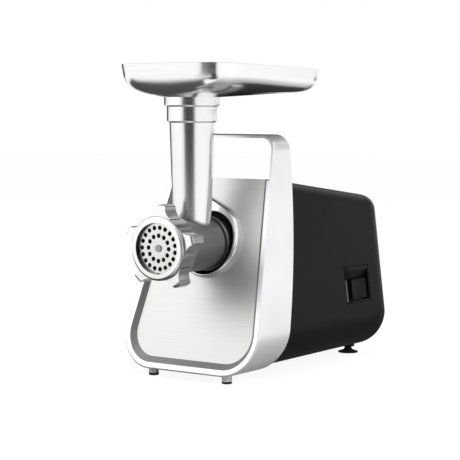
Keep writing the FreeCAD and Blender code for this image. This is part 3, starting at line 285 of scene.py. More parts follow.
@dataclass(frozen=True)
class Speckled(Finish):
    """Moulded, cast, painted or sintered surface with an even grain.

    Attributes:
        grain_mm: size of one grain.
        depth_mm: height of the grain.
        spread: wander of the roughness.
        cloud_mm: size of the broad patches of shade.
    """

    grain_mm: float = 0.8
    depth_mm: float = 0.01
    spread: float = 0.06
    cloud_mm: float = 60.0

    def pattern(self, skin: Skin) -> None:
        """Lay a fine grain in relief and gloss, and broad patches in colour.

        Args:
            skin: node tree of the material.
        """
        fine = {"Vector": skin.in_mm, "Scale": 1 / self.grain_mm, "Detail": 2.0}
        broad = {"Vector": skin.in_mm, "Scale": 1 / self.cloud_mm, "Detail": 1.0}
        grain = add_node(skin.tree, "TexNoise", fine).outputs[0]
        cloud = add_node(skin.tree, "TexNoise", broad).outputs[0]
        skin.relief(grain, self.depth_mm)
        self.gloss(skin, grain, self.spread)
        self.blend(skin, cloud, CLOUD_SPAN)


@dataclass(frozen=True)
class Brushed(Finish):
    """Metal with straight marks of a belt or a brush.

    Attributes:
        grain: direction of the marks.
        mark_mm: width of one mark.
        run_mm: length of one mark.
        depth_mm: depth of the marks.
        spread: wander of the roughness.
        smear: how much longer reflections are one way than the other.
    """

    grain: Way = Way.ACROSS
    mark_mm: float = 0.35
    run_mm: float = 40.0
    depth_mm: float = 0.004
    spread: float = 0.12
    smear: float = 0.0

    def pattern(self, skin: Skin) -> None:
        """Lay long thin streaks in relief, gloss and colour.

        Args:
            skin: node tree of the material.
        """
        squeeze = tuple(1 / self.run_mm if along else 1 / self.mark_mm for along in self.grain.value)
        course = {0: skin.in_mm, 1: squeeze}
        laid = add_node(skin.tree, "VectorMath", course, operation="MULTIPLY").outputs[0]
        streak = add_node(skin.tree, "TexNoise", {"Vector": laid, "Scale": 1.0, "Detail": 3.0}).outputs[0]
        skin.relief(streak, self.depth_mm)
        self.gloss(skin, streak, self.spread)
        self.blend(skin, streak, MARK_SPAN)
        if self.smear:
            spaces = {"convert_from": "OBJECT", "convert_to": "WORLD"}
            upright = add_node(skin.tree, "VectorTransform", {0: Way.UPRIGHT.value}, **spaces)
            skin.feed("Tangent", upright.outputs[0])
            skin.shader.inputs["Anisotropic"].default_value = self.smear


@dataclass(frozen=True)
class Ringed(Finish):
    """Metal turned or ground about an axis that runs from front to back.

    Attributes:
        centre_mm: place of the axis, across and up.
        ring_mm: distance between two marks.
        depth_mm: depth of the marks.
        spread: wander of the roughness.
    """

    centre_mm: tuple[float, float] = (0.0, 0.0)
    ring_mm: float = 0.5
    depth_mm: float = 0.004
    spread: float = 0.1

    def pattern(self, skin: Skin) -> None:
        """Lay marks that depend on the distance from the axis alone.

        Args:
            skin: node tree of the material.
        """
        marks = {"W": skin.from_axis(self.centre_mm), "Scale": 1 / self.ring_mm, "Detail": 2.0}
        ring = add_node(skin.tree, "TexNoise", marks, noise_dimensions="1D").outputs[0]
        skin.relief(ring, self.depth_mm)
        self.gloss(skin, ring, self.spread)
        self.blend(skin, ring, MARK_SPAN)


@dataclass(frozen=True)
class Layered(Finish):
    """Stack of sheets, or turns of wire, seen from the side.

    Attributes:
        lie: direction across the layers.
        layer_mm: thickness of one layer.
        depth_mm: depth of the gap between layers.
    """

    lie: Way = Way.DEEP
    layer_mm: float = 1.0
    depth_mm: float = 0.08

    def pattern(self, skin: Skin) -> None:
        """Lay regular bands in relief and colour.

        Args:
            skin: node tree of the material.
        """
        course = {0: skin.in_mm, 1: self.lie.value}
        along = add_node(skin.tree, "VectorMath", course, operation="DOT_PRODUCT").outputs["Value"]
        pace = {0: along, 1: 2 * math.pi / self.layer_mm}
        turns = add_node(skin.tree, "Math", pace, operation="MULTIPLY").outputs[0]
        wave = add_node(skin.tree, "Math", {0: turns}, operation="SINE").outputs[0]
        band = add_node(skin.tree, "MapRange", {"Value": wave, "From Min": -1.0, "From Max": 1.0}).outputs[0]
        skin.relief(band, self.depth_mm)
        self.blend(skin, band, GAP_SPAN)


@dataclass(frozen=True)
class HalfPolished(Finish):
    """Casting that is blasted on the barrel and polished on the tube that rises from it.

    Attributes:
        centre_mm: place of the barrel's axis, across and up.
        barrel_mm: radius of the blasted barrel.
        fade_mm: how far outside that radius the blasting begins and ceases to fade.
        blasted: roughness of the barrel.
        grain_mm: size of the blasted grain.
        depth_mm: height of the blasted grain.
    """

    centre_mm: tuple[float, float] = (0.0, 0.0)
    barrel_mm: float = 27.0
    fade_mm: tuple[float, float] = (0.6, 3.0)
    blasted: float = 0.5
    grain_mm: float = 0.7
    depth_mm: float = 0.03

    def pattern(self, skin: Skin) -> None:
        """Tell the polished part from the blasted one by the distance from the barrel's axis.

        Args:
            skin: node tree of the material.
        """
        full, none = (self.barrel_mm + step for step in self.fade_mm)
        reach = {"Value": skin.from_axis(self.centre_mm), "From Min": none, "From Max": full}
        barrel = add_node(skin.tree, "MapRange", reach).outputs[0]
        limits = {"Value": barrel, "To Min": self.roughness, "To Max": self.blasted}
        skin.feed("Roughness", add_node(skin.tree, "MapRange", limits).outputs[0])
        fine = {"Vector": skin.in_mm, "Scale": 1 / self.grain_mm, "Detail": 3.0}
        grain = add_node(skin.tree, "TexNoise", fine).outputs[0]
        height = add_node(skin.tree, "Math", {0: grain, 1: barrel}, operation="MULTIPLY").outputs[0]
        skin.relief(height, self.depth_mm)
        # The barrel's dull grey is partly blasted skin and partly painted shade from the tube and tray above
        # it
        self.blend(skin, barrel)


@dataclass(frozen=True)
class Faced(Finish):
    """Casting with a turned front; its flanks keep the tumbled skin and its opening's wall has painted shade.

    Attributes:
        centre_mm: place of the axis, across and up.
        opening_mm: radius of the opening in the front.
        edge_mm: how far outside that radius the opening's wall still counts as inside.
        turned: how far the front and the flanks face the back, from minus one for straight ahead.
        hollow_shade: sRGB hex value of the painted shade on the opening's wall.
        grain_mm: size of the tumbled grain.
        depth_mm: height of the tumbled grain.
    """

    centre_mm: tuple[float, float] = (0.0, 0.0)
    opening_mm: float = 25.2
    edge_mm: float = 0.1
    turned: tuple[float, float] = (-0.95, -0.6)
    hollow_shade: str = "#2c2c2c"
    grain_mm: float = 0.8
    depth_mm: float = 0.008

    def pattern(self, skin: Skin) -> None:
        """Tell the front from the flanks by their direction; paint shade in the opening, found by its
        distance from the axis.

        Args:
            skin: node tree of the material.
        """
        outside = self.blend(skin, skin.towards(Way.DEEP), self.turned)
        # Painted shade: the opening's wall is coloured dark, as if in shadow
        reach = {0: skin.from_axis(self.centre_mm), 1: self.opening_mm + self.edge_mm}
        inside = add_node(skin.tree, "Math", reach, operation="LESS_THAN").outputs[0]
        tones = {"Factor": inside, "A": outside, "B": linear(self.hollow_shade)}
        skin.feed("Base Color", add_node(skin.tree, "Mix", tones, data_type="RGBA").outputs["Result"])
        fine = {"Vector": skin.in_mm, "Scale": 1 / self.grain_mm, "Detail": 2.0}
        skin.relief(add_node(skin.tree, "TexNoise", fine).outputs[0], self.depth_mm)


@dataclass(frozen=True)
class Crowned(Finish):
    """Moulded slope that rounds over towards the front, so that its upper edge catches light from behind.

    Attributes:
        foot_mm: place, from front to back, where the slope ends.
        bow: how fast the slope rounds over, per millimetre.
        slope_back: the slope faces the back by more than this share.
        slope_out: the slope faces the switch side by more than this share.
        coat_ior: strength of the polished slope's reflection.
        coat_roughness: haze of that reflection.
    """

    foot_mm: float = 0.0
    bow: float = 0.0155
    slope_back: float = 0.25
    slope_out: float = 0.5
    coat_ior: float = 2.2
    coat_roughness: float = 0.15

    def pattern(self, skin: Skin) -> None:
        """Lay a bow that grows with the distance in front of the slope's foot, and polish the slope.

        Args:
            skin: node tree of the material.
        """
        tree = skin.tree
        along = add_node(tree, "SeparateXYZ", {0: skin.in_mm}).outputs["Y"]
        past = add_node(tree, "Math", {0: along, 1: self.foot_mm}, operation="SUBTRACT").outputs[0]
        ahead = add_node(tree, "Math", {0: past, 1: 0.0}, operation="MINIMUM").outputs[0]
        square = add_node(tree, "Math", {0: ahead, 1: ahead}, operation="MULTIPLY").outputs[0]
        height_mm = add_node(tree, "Math", {0: square, 1: -self.bow}, operation="MULTIPLY").outputs[0]
        bowed = skin.relief(height_mm, 1.0)
        back = {0: skin.towards(Way.DEEP), 1: self.slope_back}
        out = {0: skin.towards(Way.ACROSS), 1: self.slope_out}
        behind = add_node(tree, "Math", back, operation="GREATER_THAN").outputs[0]
        beside = add_node(tree, "Math", out, operation="GREATER_THAN").outputs[0]
        slope = add_node(tree, "Math", {0: behind, 1: beside}, operation="MULTIPLY").outputs[0]
        skin.feed("Coat Weight", slope)
        skin.feed("Coat Normal", bowed)
        skin.shader.inputs["Coat IOR"].default_value = self.coat_ior
        skin.shader.inputs["Coat Roughness"].default_value = self.coat_roughness


@dataclass
class SubAssembly:
    """Pieces that are dressed together.

    Attributes:
        title: name in the log.
        finishes: finish to the nodes that wear it.
    """

    title: str
    finishes: dict[Finish, list[str]] = field(default_factory=dict)

    def dress(self) -> None:
        """Give every node its material and smooth shading inside each face."""
        for finish, nodes in self.finishes.items():
            material = finish.material()
            for name in nodes:
                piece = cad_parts[name]
                piece.data.materials.clear()
                piece.data.materials.append(material)
                piece.data.polygons.foreach_set("use_smooth", [True] * len(piece.data.polygons))
                log.info("%s: %s in %s", self.title, name, finish.name)


def middle_mm(node: str) -> tuple[float, float]:
    """Find the middle of a node, seen from the front.

    Args:
        node: name of the node.

    Returns:
        Its middle across and up, in millimetres.
    """
    low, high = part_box(node)
    return ((low.x + high.x) / 2 / MM, (low.z + high.z) / 2 / MM)


# Silver lacquer on ABS: a pale satin glow with soft edges, from flakes drawn coarser than real to show
SILVER_PAINT = Speckled(
    "silver_lacquer_on_abs", "#f5f5f6", "#eeeeef", 0.34, metallic=0.7, grain_mm=0.5, depth_mm=0.004
)
# Belt-brushed aluminium sheet: level streaks that smear reflections, drawn wider than real to show
BRUSHED_SHEET = Brushed(
    "belt_brushed_aluminium",
    "#dadad9",
    "#d3d3d2",
    0.42,
    metallic=0.82,
    grain=Way.ACROSS,
    depth_mm=0.002,
    spread=0.06,
    smear=0.35,
)
# Satin lacquer: an even mid grey that frames the panel
GREY_BEVEL = Speckled(
    "satin_grey_lacquer", "#8a8a8b", "#828283", 0.4, metallic=0.3, grain_mm=0.5, depth_mm=0.003
)
# Plated zinc casting: bright, with a slight haze over its reflections
BRIGHT_BEZEL = Speckled(
    "satin_plated_zinc", "#f2f2f2", "#eaeaea", 0.24, metallic=1.0, grain_mm=0.9, depth_mm=0.003
)
# Moulded ABS with a high polish: deep black with broad soft reflections
BLACK_SHELL = Speckled(
    "polished_black_abs", "#0e0d0d", "#0b0a0a", 0.42, specular=0.1, grain_mm=1.4, depth_mm=0.002
)
# Moulded ABS with a spark-eroded grain: dull black
BLACK_PLASTIC = Speckled(
    "grained_black_abs", "#100f0f", "#0c0b0b", 0.5, specular=0.12, grain_mm=0.7, depth_mm=0.02
)
# Moulded rubber: dull, slightly dusty black
RUBBER = Speckled("moulded_rubber", "#121212", "#1a1a1a", 0.7, specular=0.3, grain_mm=0.9, depth_mm=0.03)
# Pressed stainless sheet, polished: a near mirror, with faint polishing marks drawn wider than real
MIRROR_STEEL = Brushed(
    "polished_stainless_sheet",
    "#fafaf9",
    "#f4f4f3",
    0.21,
    metallic=1.0,
    mark_mm=1.2,
    run_mm=60.0,
    depth_mm=0.0004,
    spread=0.03,
)


@dataclass
class FrontShell(SubAssembly):
    """Leaning front: silver frame with the handle, brushed panel, bevel strip and bezel."""

    title: str = "front shell"

    def __post_init__(self) -> None:
        """Pair each finish with its nodes."""
        # Moulded ABS with silver in it: satin, and a little greyer than the frame
        button = Speckled(
            "satin_silver_abs", "#cfcfd0", "#c4c4c5", 0.3, metallic=0.4, grain_mm=0.6, depth_mm=0.003
        )
        self.finishes = {
            SILVER_PAINT: ["front_frame", "front_foot_posts"],
            BRUSHED_SHEET: ["front_panel"],
            GREY_BEVEL: ["panel_strip"],
            BRIGHT_BEZEL: ["head_bezel"],
            button: ["lock_button"],
            RUBBER: ["front_foot_pads"],
        }


@dataclass
class RearShell(SubAssembly):
    """Black housing with the switch, the base plate and the rear feet.

    Attributes:
        slope: length of the switch surround's slope from front to back, in millimetres.
    """

    title: str = "rear shell"
    slope: float = 16.5

    def __post_init__(self) -> None:
        """Pair each finish with its nodes."""
        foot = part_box("switch_surround")[0].y / MM + self.slope
        # Moulded ABS, polished: black as the housing, with one slope that gives back the bright room
        glossy = Crowned("bright_black_abs", "#0e0d0d", "#0b0a0a", 0.36, specular=0.1, foot_mm=foot)
        # Zinc-plated steel: pale grey with a faint warm cast
        plated = Ringed("zinc_plated_steel", "#b9b9b4", "#a4a49e", 0.35, metallic=1.0, ring_mm=0.4)
        self.finishes = {
            BLACK_SHELL: ["rear_housing"],
            glossy: ["switch_surround"],
            BLACK_PLASTIC: ["base_plate", "rocker_switch", "switch_block", "head_socket", "brush_holders"],
            RUBBER: ["rear_suction_feet", "cord_gland", "motor_cushion"],
            plated: ["base_screws", "socket_screws", "gearbox_screws", "motor_bolts"],
        }


@dataclass
class GrindingHead(SubAssembly):
    """Feed tube and barrel, cutting plate, knife, auger and ring nut."""

    title: str = "grinding head"

    def __post_init__(self) -> None:
        """Pair each finish with its nodes."""
        axis = middle_mm("output_shaft")
        # Cast aluminium, polished and blasted: sharp bands of light on the tube; on the barrel, dull grey
        # deepened by painted shade
        casting = HalfPolished(
            "polished_cast_aluminium", "#f3f3f3", "#8b8b8b", 0.24, metallic=1.0, centre_mm=axis
        )
        # Cast aluminium, turned in front: a bright ring between greyer flanks, and painted shade in its
        # opening
        faced = Faced("turned_cast_aluminium", "#f8f8f8", "#b4b4b4", 0.26, metallic=1.0, centre_mm=axis)
        # Cast aluminium, tumbled: an even soft grey
        tumbled = Speckled(
            "tumbled_cast_aluminium", "#a2a2a2", "#989898", 0.34, metallic=1.0, depth_mm=0.01
        )
        # Tool steel, ground: a bright disc with fine rings, drawn wider than real to show
        ground = Ringed(
            "ground_tool_steel", "#ececea", "#e0e0de", 0.28, metallic=1.0, centre_mm=axis, ring_mm=0.5
        )
        # Steel with painted shade: near black, as the knife lies in shade behind the plate, so little comes
        # back through its holes
        knife_in_painted_shade = Speckled(
            "steel_painted_dark_as_shade", "#2a2a2b", "#232324", 0.5, metallic=0.8, grain_mm=0.9, depth_mm=0.02
        )
        self.finishes = {
            casting: ["grinder_head"],
            faced: ["ring_nut"],
            tumbled: ["auger"],
            ground: ["cutting_plate"],
            knife_in_painted_shade: ["knife"],
        }


@dataclass
class FeedTray:
    """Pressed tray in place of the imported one, with a wide sweep from its wall to its floor.

    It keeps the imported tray's outline, rim, seat and neck. Lengths are in millimetres.

    Attributes:
        corner: radius of the rim's corners, seen from above.
        lean: how far the wall comes in between the rim and the floor.
        front_floor: height at which wall and floor would meet in front.
        back_floor: the same at the back.
        wall_sweep: how far up the wall the sweep begins.
        floor_sweep: how far into the floor it ends.
        sweep_limit: largest share of the floor that the sweep may take.
        seat: radius of the ring that rests on the tube.
        seat_rise: height of that ring.
        seat_gap: air between the ring and the tube, too thin to see.
        sheet: thickness of the steel.
        rim_drop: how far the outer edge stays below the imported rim; a leaning wall's inner edge is higher.
        crease: angle in degrees above which an edge stays sharp.
        margin: how near to the neck's end or the back edge a packed point counts as on it.
        corner_steps: steps round one corner.
        side_steps: steps along one side.
        wall_steps: steps down the wall.
        sweep_steps: steps round the sweep.
        floor_steps: steps across the floor.
        low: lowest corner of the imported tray's box.
        high: highest corner of that box.
        axis: place of the tube's axis, from front to back.
        neck: outer radius of the neck.
        back_rim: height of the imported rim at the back.
        tube_top: height of the tube's upper end.
    """

    corner: float = 30.0
    lean: float = 4.5
    front_floor: float = 291.0
    back_floor: float = 290.0
    wall_sweep: float = 15.0
    floor_sweep: float = 24.0
    sweep_limit: float = 0.6
    seat: float = 27.7
    seat_rise: float = 0.2
    seat_gap: float = 0.03
    sheet: float = 1.2
    rim_drop: float = 0.25
    crease: float = 35.0
    margin: float = 1.0
    corner_steps: int = 12
    side_steps: int = 12
    wall_steps: int = 4
    sweep_steps: int = 14
    floor_steps: int = 8
    low: Vector = field(init=False)
    high: Vector = field(init=False)
    axis: float = field(init=False)
    neck: float = field(init=False)
    back_rim: float = field(init=False)
    tube_top: float = field(init=False)

    def __post_init__(self) -> None:
        """Take the outline, the rim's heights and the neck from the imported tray."""
        points = [v.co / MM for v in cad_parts["feed_tray"].data.vertices]
        low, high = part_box("feed_tray")
        self.low = low / MM
        self.high = high / MM
        neck = [p for p in points if p.z < self.low.z + self.margin]
        self.axis = (min(p.y for p in neck) + max(p.y for p in neck)) / 2
        self.neck = max(p.x for p in neck)
        self.back_rim = max(p.z for p in points if p.y > self.high.y - self.margin)
        self.tube_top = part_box("grinder_head")[1].z / MM

    def outline(self) -> list[Vector]:
        """Go round the rim, seen from above.

        Returns:
            Points across and deep, anticlockwise from the right side's rear end.
        """
        side = self.high.x - self.corner
        near = self.low.y + self.corner
        far = self.high.y - self.corner
        arcs = []
        for i, middle in enumerate(((side, far), (-side, far), (-side, near), (side, near))):
            quarters = [i + step / self.corner_steps for step in range(self.corner_steps + 1)]
            angles = [math.radians(90 * quarter) for quarter in quarters]
            arcs.append([Vector(middle) + self.corner * Vector((math.cos(a), math.sin(a))) for a in angles])
        points = []
        for i, arc in enumerate(arcs):
            ahead = arcs[(i + 1) % len(arcs)][0]
            points += arc
            points += [arc[-1].lerp(ahead, step / self.side_steps) for step in range(1, self.side_steps)]
        return points

    def profile(self, reach: float, back: float) -> list[Vector]:
        """Draw the section of the outer skin in one upright plane through the tube's axis.

        Args:
            reach: distance of the rim from the axis.
            back: share of the way from the front of the tray to its back.

        Returns:
            Points of distance and height, from the rim to the end of the neck.
        """
        rim = Vector((reach, self.high.z + (self.back_rim - self.high.z) * back - self.rim_drop))
        bend = Vector((reach - self.lean, self.front_floor + (self.back_floor - self.front_floor) * back))
        foot = Vector((self.seat, self.tube_top + self.seat_rise))
        start = bend + (rim - bend).normalized() * self.wall_sweep
        run = foot - bend
        end = bend + run.normalized() * min(self.floor_sweep, self.sweep_limit * run.length)
        wall = [rim.lerp(start, step / self.wall_steps) for step in range(self.wall_steps)]
        shares = [step / self.sweep_steps for step in range(self.sweep_steps)]
        sweep = [start.lerp(bend, s).lerp(bend.lerp(end, s), s) for s in shares]
        floor = [end.lerp(foot, step / self.floor_steps) for step in range(self.floor_steps + 1)]
        level = self.tube_top + self.seat_gap
        neck = [(self.seat, level), (self.neck, level), (self.neck, self.low.z)]
        return wall + sweep + floor + [Vector(p) for p in neck]

    def build(self) -> bpy.types.Object:
        """Skin the sections and give the sheet its thickness.

        Returns:
            The tray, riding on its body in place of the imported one.
        """
        made = bmesh.new()
        rows = []
        for point in self.outline():
            out = point - Vector((0.0, self.axis))
            back = (point.y - self.low.y) / (self.high.y - self.low.y)
            way = out.normalized()
            row = [(r * way.x, self.axis + r * way.y, z) for r, z in self.profile(out.length, back)]
            rows.append([made.verts.new((x * MM, y * MM, z * MM)) for x, y, z in row])
        for row, following in zip(rows, rows[1:] + rows[:1]):
            for i in range(len(row) - 1):
                made.faces.new((row[i], row[i + 1], following[i + 1], following[i]))
        bmesh.ops.recalc_face_normals(made, faces=made.faces)
        bmesh.ops.solidify(made, geom=made.faces[:], thickness=self.sheet * MM)
        mesh = bpy.data.meshes.new("pressed_tray")
        made.to_mesh(mesh)
        made.free()
        mesh.polygons.foreach_set("use_smooth", [True] * len(mesh.polygons))
        mesh.set_sharp_from_angle(angle=math.radians(self.crease))
        piece = bpy.data.objects.new("pressed_tray", mesh)
        bpy.context.scene.collection.objects.link(piece)
        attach(piece, "tray")
        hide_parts("feed_tray")
        return piece

    def dress(self) -> None:
        """Build the tray and polish it."""
        piece = self.build()
        piece.data.materials.append(MIRROR_STEEL.material())
        log.info("feed tray: %s in %s", piece.name, MIRROR_STEEL.name)


@dataclass
class DriveTrain(SubAssembly):
    """Motor, gears and what carries them inside the body."""

    title: str = "drive train"

    def __post_init__(self) -> None:
        """Pair each finish with its nodes."""
        # Die-cast aluminium: dull pale grey with a coarse skin
        die_cast = Speckled(
            "die_cast_aluminium", "#b4b4b4", "#a6a6a6", 0.45, metallic=1.0, grain_mm=1.2, depth_mm=0.03
        )
        # Ground steel: bright, with fine rings drawn wider than real to show
        shafting = Ringed("ground_shaft_steel", "#c0c0be", "#b0b0ae", 0.25, metallic=1.0, ring_mm=0.6)
        # Stacked silicon steel: dark grey with thin lines, its sheets drawn thicker than real to show
        sheets = Layered("stacked_silicon_steel", "#5c5d60", "#3c3d40", 0.5, metallic=0.9, layer_mm=1.0)
        # Enamelled copper wire: glossy red brown, turn beside turn
        wire = Layered("enamelled_copper_wire", "#a8552a", "#6e3316", 0.3, metallic=0.8, layer_mm=0.9)
        # Turned copper: warm and bright, with lines along its bars
        bars = Brushed("turned_copper", "#b8734a", "#a0613c", 0.3, metallic=1.0, grain=Way.DEEP)
        # Sintered bronze: dull gold with open pores
        bronze = Speckled(
            "sintered_bronze", "#9c7a43", "#8a6a38", 0.45, metallic=1.0, grain_mm=0.5, depth_mm=0.02
        )
        # Moulded nylon: waxy ivory
        nylon = Speckled("moulded_nylon", "#e4dfd2", "#d9d3c4", 0.45, grain_mm=0.9, depth_mm=0.01)
        # Pressed carbon: dull, nearly black
        carbon = Speckled("pressed_carbon", "#232325", "#1b1b1d", 0.55, grain_mm=0.4, depth_mm=0.02)
        self.finishes = {
            die_cast: ["gearbox_case", "gearbox_cover", "motor_front_bracket", "motor_rear_bracket"],
            shafting: [
                "first_axle",
                "second_axle",
                "output_shaft",
                "drive_coupler",
                "armature_shaft",
                "motor_pinion",
                "second_gear",
            ],
            sheets: ["stator_core", "armature_core"],
            wire: ["field_coils", "armature_winding"],
            bars: ["commutator"],
            bronze: ["output_bushes", "motor_bearings"],
            nylon: ["first_gear", "output_gear", "auger_bush", "cooling_fan"],
            carbon: ["carbon_brushes"],
        }


@dataclass(frozen=True)
class Lamp:
    """Square soft box that looks at the object.

    Attributes:
        name: object's name.
        place: its middle, in metres.
        wide: length of its side, in metres.
        power: watts.
        mirrored: whether reflections see it.
    """

    name: str
    place: Place
    wide: float
    power: float
    mirrored: bool = True


@dataclass(frozen=True)
class Flag:
    """Card that only reflections see. Lengths are in metres.

    Attributes:
        name: object's name.
        wide: width.
        tall: height.
        colour: sRGB hex value all over, or where the card's own x is lowest if it fades.
        fade: sRGB hex value where the card's own x is highest, for a card that fades.
        turn: how far the card is turned about its own middle, in degrees.
    """

    name: str
    wide: float
    tall: float
    colour: str
    fade: str = ""
    turn: float = 0.0

    def felt(self) -> bpy.types.Material:
        """Make the card's cover: dull felt, or a glow where it fades.

        Returns:
            The cover's material.
        """
        made = bpy.data.materials.new(self.name + "_felt")
        tree = bare_tree(made)
        if self.fade:
            place = add_node(tree, "TexCoord").outputs["Object"]
            across = add_node(tree, "SeparateXYZ", {0: place}).outputs["X"]
            edges = {"Value": across, "From Min": -self.wide / 2, "From Max": self.wide / 2}
            share = add_node(tree, "MapRange", edges).outputs[0]
            tones = {"Factor": share, "A": linear(self.colour), "B": linear(self.fade)}
            tone = add_node(tree, "Mix", tones, data_type="RGBA").outputs["Result"]
            cover = add_node(tree, "Emission", {"Color": tone})
        else:
            cover = add_node(tree, "BsdfDiffuse", {"Color": linear(self.colour)})
        add_node(tree, "OutputMaterial", {"Surface": cover.outputs[0]})
        return made


@dataclass(frozen=True)
class LyingFlag(Flag):
    """Card that lies with its face up.

    Attributes:
        middle: place of its middle.
    """

    middle: Place = (0.0, 0.0, 0.0)

    def stand(self, azimuth: float) -> tuple[Place, Place]:
        """Give its place, which doesn't depend on the camera.

        Args:
            azimuth: camera's direction, in degrees; not used.

        Returns:
            Its middle and a point that its front looks at.
        """
        x, y, _ = self.middle
        return self.middle, (x, y, 1.0)


@dataclass(frozen=True)
class StandingFlag(Flag):
    """Card that stands round the object and faces it.

    Attributes:
        turned: its direction from the object, in degrees from the camera's.
        away: its distance from the object's middle.
        low: height of its lower edge.
    """

    turned: float = 0.0
    away: float = 1.0
    low: float = 0.0

    def stand(self, azimuth: float) -> tuple[Place, Place]:
        """Work out its place from the camera's direction.

        Args:
            azimuth: camera's direction, in degrees.

        Returns:
            Its middle and a point that its front looks at.
        """
        angle = math.radians(azimuth + self.turned)
        level = self.low + self.tall / 2
        middle = (self.away * math.sin(angle), MIDDLE_DEPTH - self.away * math.cos(angle), level)
        return middle, (0.0, MIDDLE_DEPTH, level)


LAMPS = (
    Lamp("left_box", (-1.5, -1.6, 1.3), 2.2, 12.0),
    Lamp("right_box", (2.0, 0.2, 1.1), 1.8, 30.0, mirrored=False),
    Lamp("top_box", (0.0, 0.0, 2.1), 1.8, 12.0),
)
# The line flag has one colour at both edges, which makes it an even glow that no lamp lightens
FLAGS = (
    LyingFlag("floor_flag", 0.74, 1.3, "#505050", middle=(-0.35, 0.25, 0.002)),
    LyingFlag("corner_flag", 1.05, 0.9, "#303030", "#ffffff", turn=10.0, middle=(0.13, -1.1, 0.003)),
    LyingFlag("line_flag", 0.2, 1.0, "#101010", "#101010", turn=45.0, middle=(0.556, -0.643, 0.004)),
    LyingFlag("front_flag", 0.22, 0.96, "#505050", "#ffffff", turn=90.0, middle=(-0.24, -0.51, 0.003)),
    LyingFlag("side_flag", 0.45, 1.1, "#ffffff", "#505050", middle=(0.245, 0.35, 0.003)),
    LyingFlag("under_flag", 0.14, 0.11, "#404040", middle=(0.0, -0.02, 0.272)),
    StandingFlag("camera_flag", 0.78, 0.365, "#060606", turned=-13.0, away=0.8, low=0.085),
    StandingFlag("low_flag", 0.5, 0.15, "#505050", turned=130.0, away=1.6),
    StandingFlag("high_flag", 1.4, 0.6, "#b4b4b4", turned=110.0, away=1.3, low=0.42),
    StandingFlag("rear_flag", 2.5, 1.8, "#0c0c0c", turned=195.0, away=2.2),
)


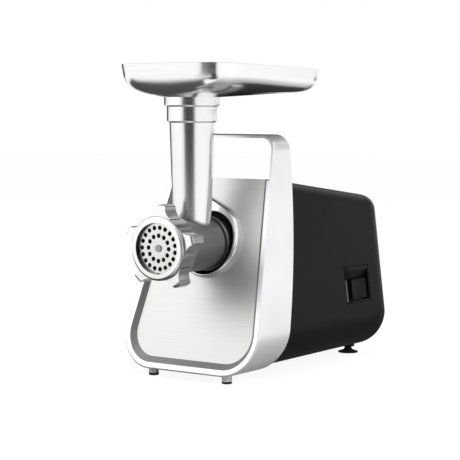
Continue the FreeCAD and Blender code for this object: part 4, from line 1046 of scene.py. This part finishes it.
@dataclass
class Studio:
    """White sweep, soft lamps, dark flags and the camera. Lengths are in metres.

    Attributes:
        azimuth: camera's direction from the front towards the switch side, in degrees.
        pitch: how far the camera looks down, in degrees.
        stand: camera's place.
        lens: focal length in millimetres.
        sensor: width of the camera's sensor in millimetres.
        sight: distance beyond which the camera sees nothing.
        floor_half: half the floor's side.
        floor_glow: strength of the floor's white.
        floor_white: share of that white that the camera and reflections see.
        room_light: strength of the light from all sides.
        room_white: strength of the surroundings that the camera and reflections see.
        lamp_aim: point that the lamps look at.
    """

    azimuth: float = 35.2
    pitch: float = 4.437
    stand: Place = (0.9351, -1.3677, 0.2722)
    lens: float = 122.72
    sensor: float = 36.0
    sight: float = 50.0
    floor_half: float = 6.0
    floor_glow: float = 1.08
    floor_white: float = 0.85
    room_light: float = 0.5
    room_white: float = 1.0
    lamp_aim: Place = (0.0, 0.0, 0.15)

    def build(self) -> None:
        """Put everything round the object."""
        self.camera()
        self.floor()
        self.world()
        self.lamps()
        self.flags()

    def camera(self) -> None:
        """Set the camera at the photograph's angle."""
        data = bpy.data.cameras.new("camera")
        data.lens = self.lens
        data.sensor_width = self.sensor
        data.clip_end = self.sight
        eye = bpy.data.objects.new("camera", data)
        eye.location = self.stand
        eye.rotation_euler = (math.radians(90 - self.pitch), 0.0, math.radians(self.azimuth))
        bpy.context.scene.collection.objects.link(eye)
        bpy.context.scene.camera = eye
        bpy.context.scene.view_settings.view_transform = "Standard"

    def card(self, name: str, middle: Place, facing: Place, wide: float, tall: float) -> bpy.types.Object:
        """Make a flat sheet that looks at a point.

        Args:
            name: object's name.
            middle: place of its middle.
            facing: point that its front looks at.
            wide: width.
            tall: height.

        Returns:
            The sheet, marked as part of the studio.
        """
        mesh = bpy.data.meshes.new(name)
        half, up = wide / 2, tall / 2
        corners = [(-half, -up, 0), (half, -up, 0), (half, up, 0), (-half, up, 0)]
        mesh.from_pydata(corners, [], [(0, 1, 2, 3)])
        made = bpy.data.objects.new(name, mesh)
        made.location = middle
        made.rotation_euler = (Vector(facing) - Vector(middle)).to_track_quat("Z", "Y").to_euler()
        bpy.context.scene.collection.objects.link(made)
        return made

    def floor(self) -> None:
        """Lay a pale floor that turns white for the camera but keeps the object's shadow."""
        side = 2 * self.floor_half
        made = self.card("floor", (0, 0, 0), (0, 0, 1), side, side)
        # Uncoated paper: a matte white that takes a shadow
        paper = bpy.data.materials.new("white_paper")
        tree = bare_tree(paper)
        matte = add_node(tree, "BsdfDiffuse", {"Color": linear("#f4f4f4")})
        glow = add_node(tree, "Emission", {"Color": linear("#ffffff"), "Strength": self.floor_glow})
        rays = add_node(tree, "LightPath").outputs
        either = {0: rays["Is Camera Ray"], 1: rays["Is Glossy Ray"]}
        seen = add_node(tree, "Math", either, operation="MAXIMUM").outputs[0]
        share = add_node(tree, "Math", {0: seen, 1: self.floor_white}, operation="MULTIPLY").outputs[0]
        mixed = add_node(tree, "MixShader", {0: share, 1: matte.outputs[0], 2: glow.outputs[0]})
        add_node(tree, "OutputMaterial", {"Surface": mixed.outputs[0]})
        made.data.materials.append(paper)

    def world(self) -> None:
        """Surround it with white for the camera and for reflections, and dimmer light from all sides."""
        world = bpy.data.worlds.new("studio")
        tree = bare_tree(world)
        rays = add_node(tree, "LightPath").outputs
        glossy = {"Value": rays["Is Glossy Ray"], "To Min": self.room_light, "To Max": self.room_white}
        mirrored = add_node(tree, "MapRange", glossy).outputs[0]
        direct = {"Value": rays["Is Camera Ray"], "To Min": mirrored, "To Max": self.room_white}
        strength = add_node(tree, "MapRange", direct).outputs[0]
        sky = add_node(tree, "Background", {"Color": linear("#ffffff"), "Strength": strength})
        add_node(tree, "OutputWorld", {"Surface": sky.outputs[0]})
        bpy.context.scene.world = world

    def lamps(self) -> None:
        """Hang two soft boxes, left and right of the camera, and one overhead."""
        for lamp in LAMPS:
            data = bpy.data.lights.new(lamp.name, "AREA")
            data.shape = "SQUARE"
            data.size = lamp.wide
            data.energy = lamp.power
            hung = bpy.data.objects.new(lamp.name, data)
            hung.location = lamp.place
            aim = Vector(self.lamp_aim) - Vector(lamp.place)
            hung.rotation_euler = aim.to_track_quat("-Z", "Y").to_euler()
            bpy.context.scene.collection.objects.link(hung)
            hung.visible_glossy = lamp.mirrored

    def flags(self) -> None:
        """Set out the cards that only reflections see; they draw the edges of the polished metal."""
        for flag in FLAGS:
            middle, facing = flag.stand(self.azimuth)
            card = self.card(flag.name, middle, facing, flag.wide, flag.tall)
            card.rotation_euler.rotate_axis("Z", math.radians(flag.turn))
            card.data.materials.append(flag.felt())
            card.visible_camera = False
            card.visible_diffuse = False
            card.visible_shadow = False
            log.info("studio: %s", flag.name)


def main() -> None:
    """Dress the sub-assemblies in order and light them."""
    logging.basicConfig(level=logging.INFO, format="%(message)s")
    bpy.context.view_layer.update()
    for part in (FrontShell(), RearShell(), GrindingHead(), FeedTray(), DriveTrain()):
        part.dress()
    Studio().build()


if __name__ == "__main__":
    main()
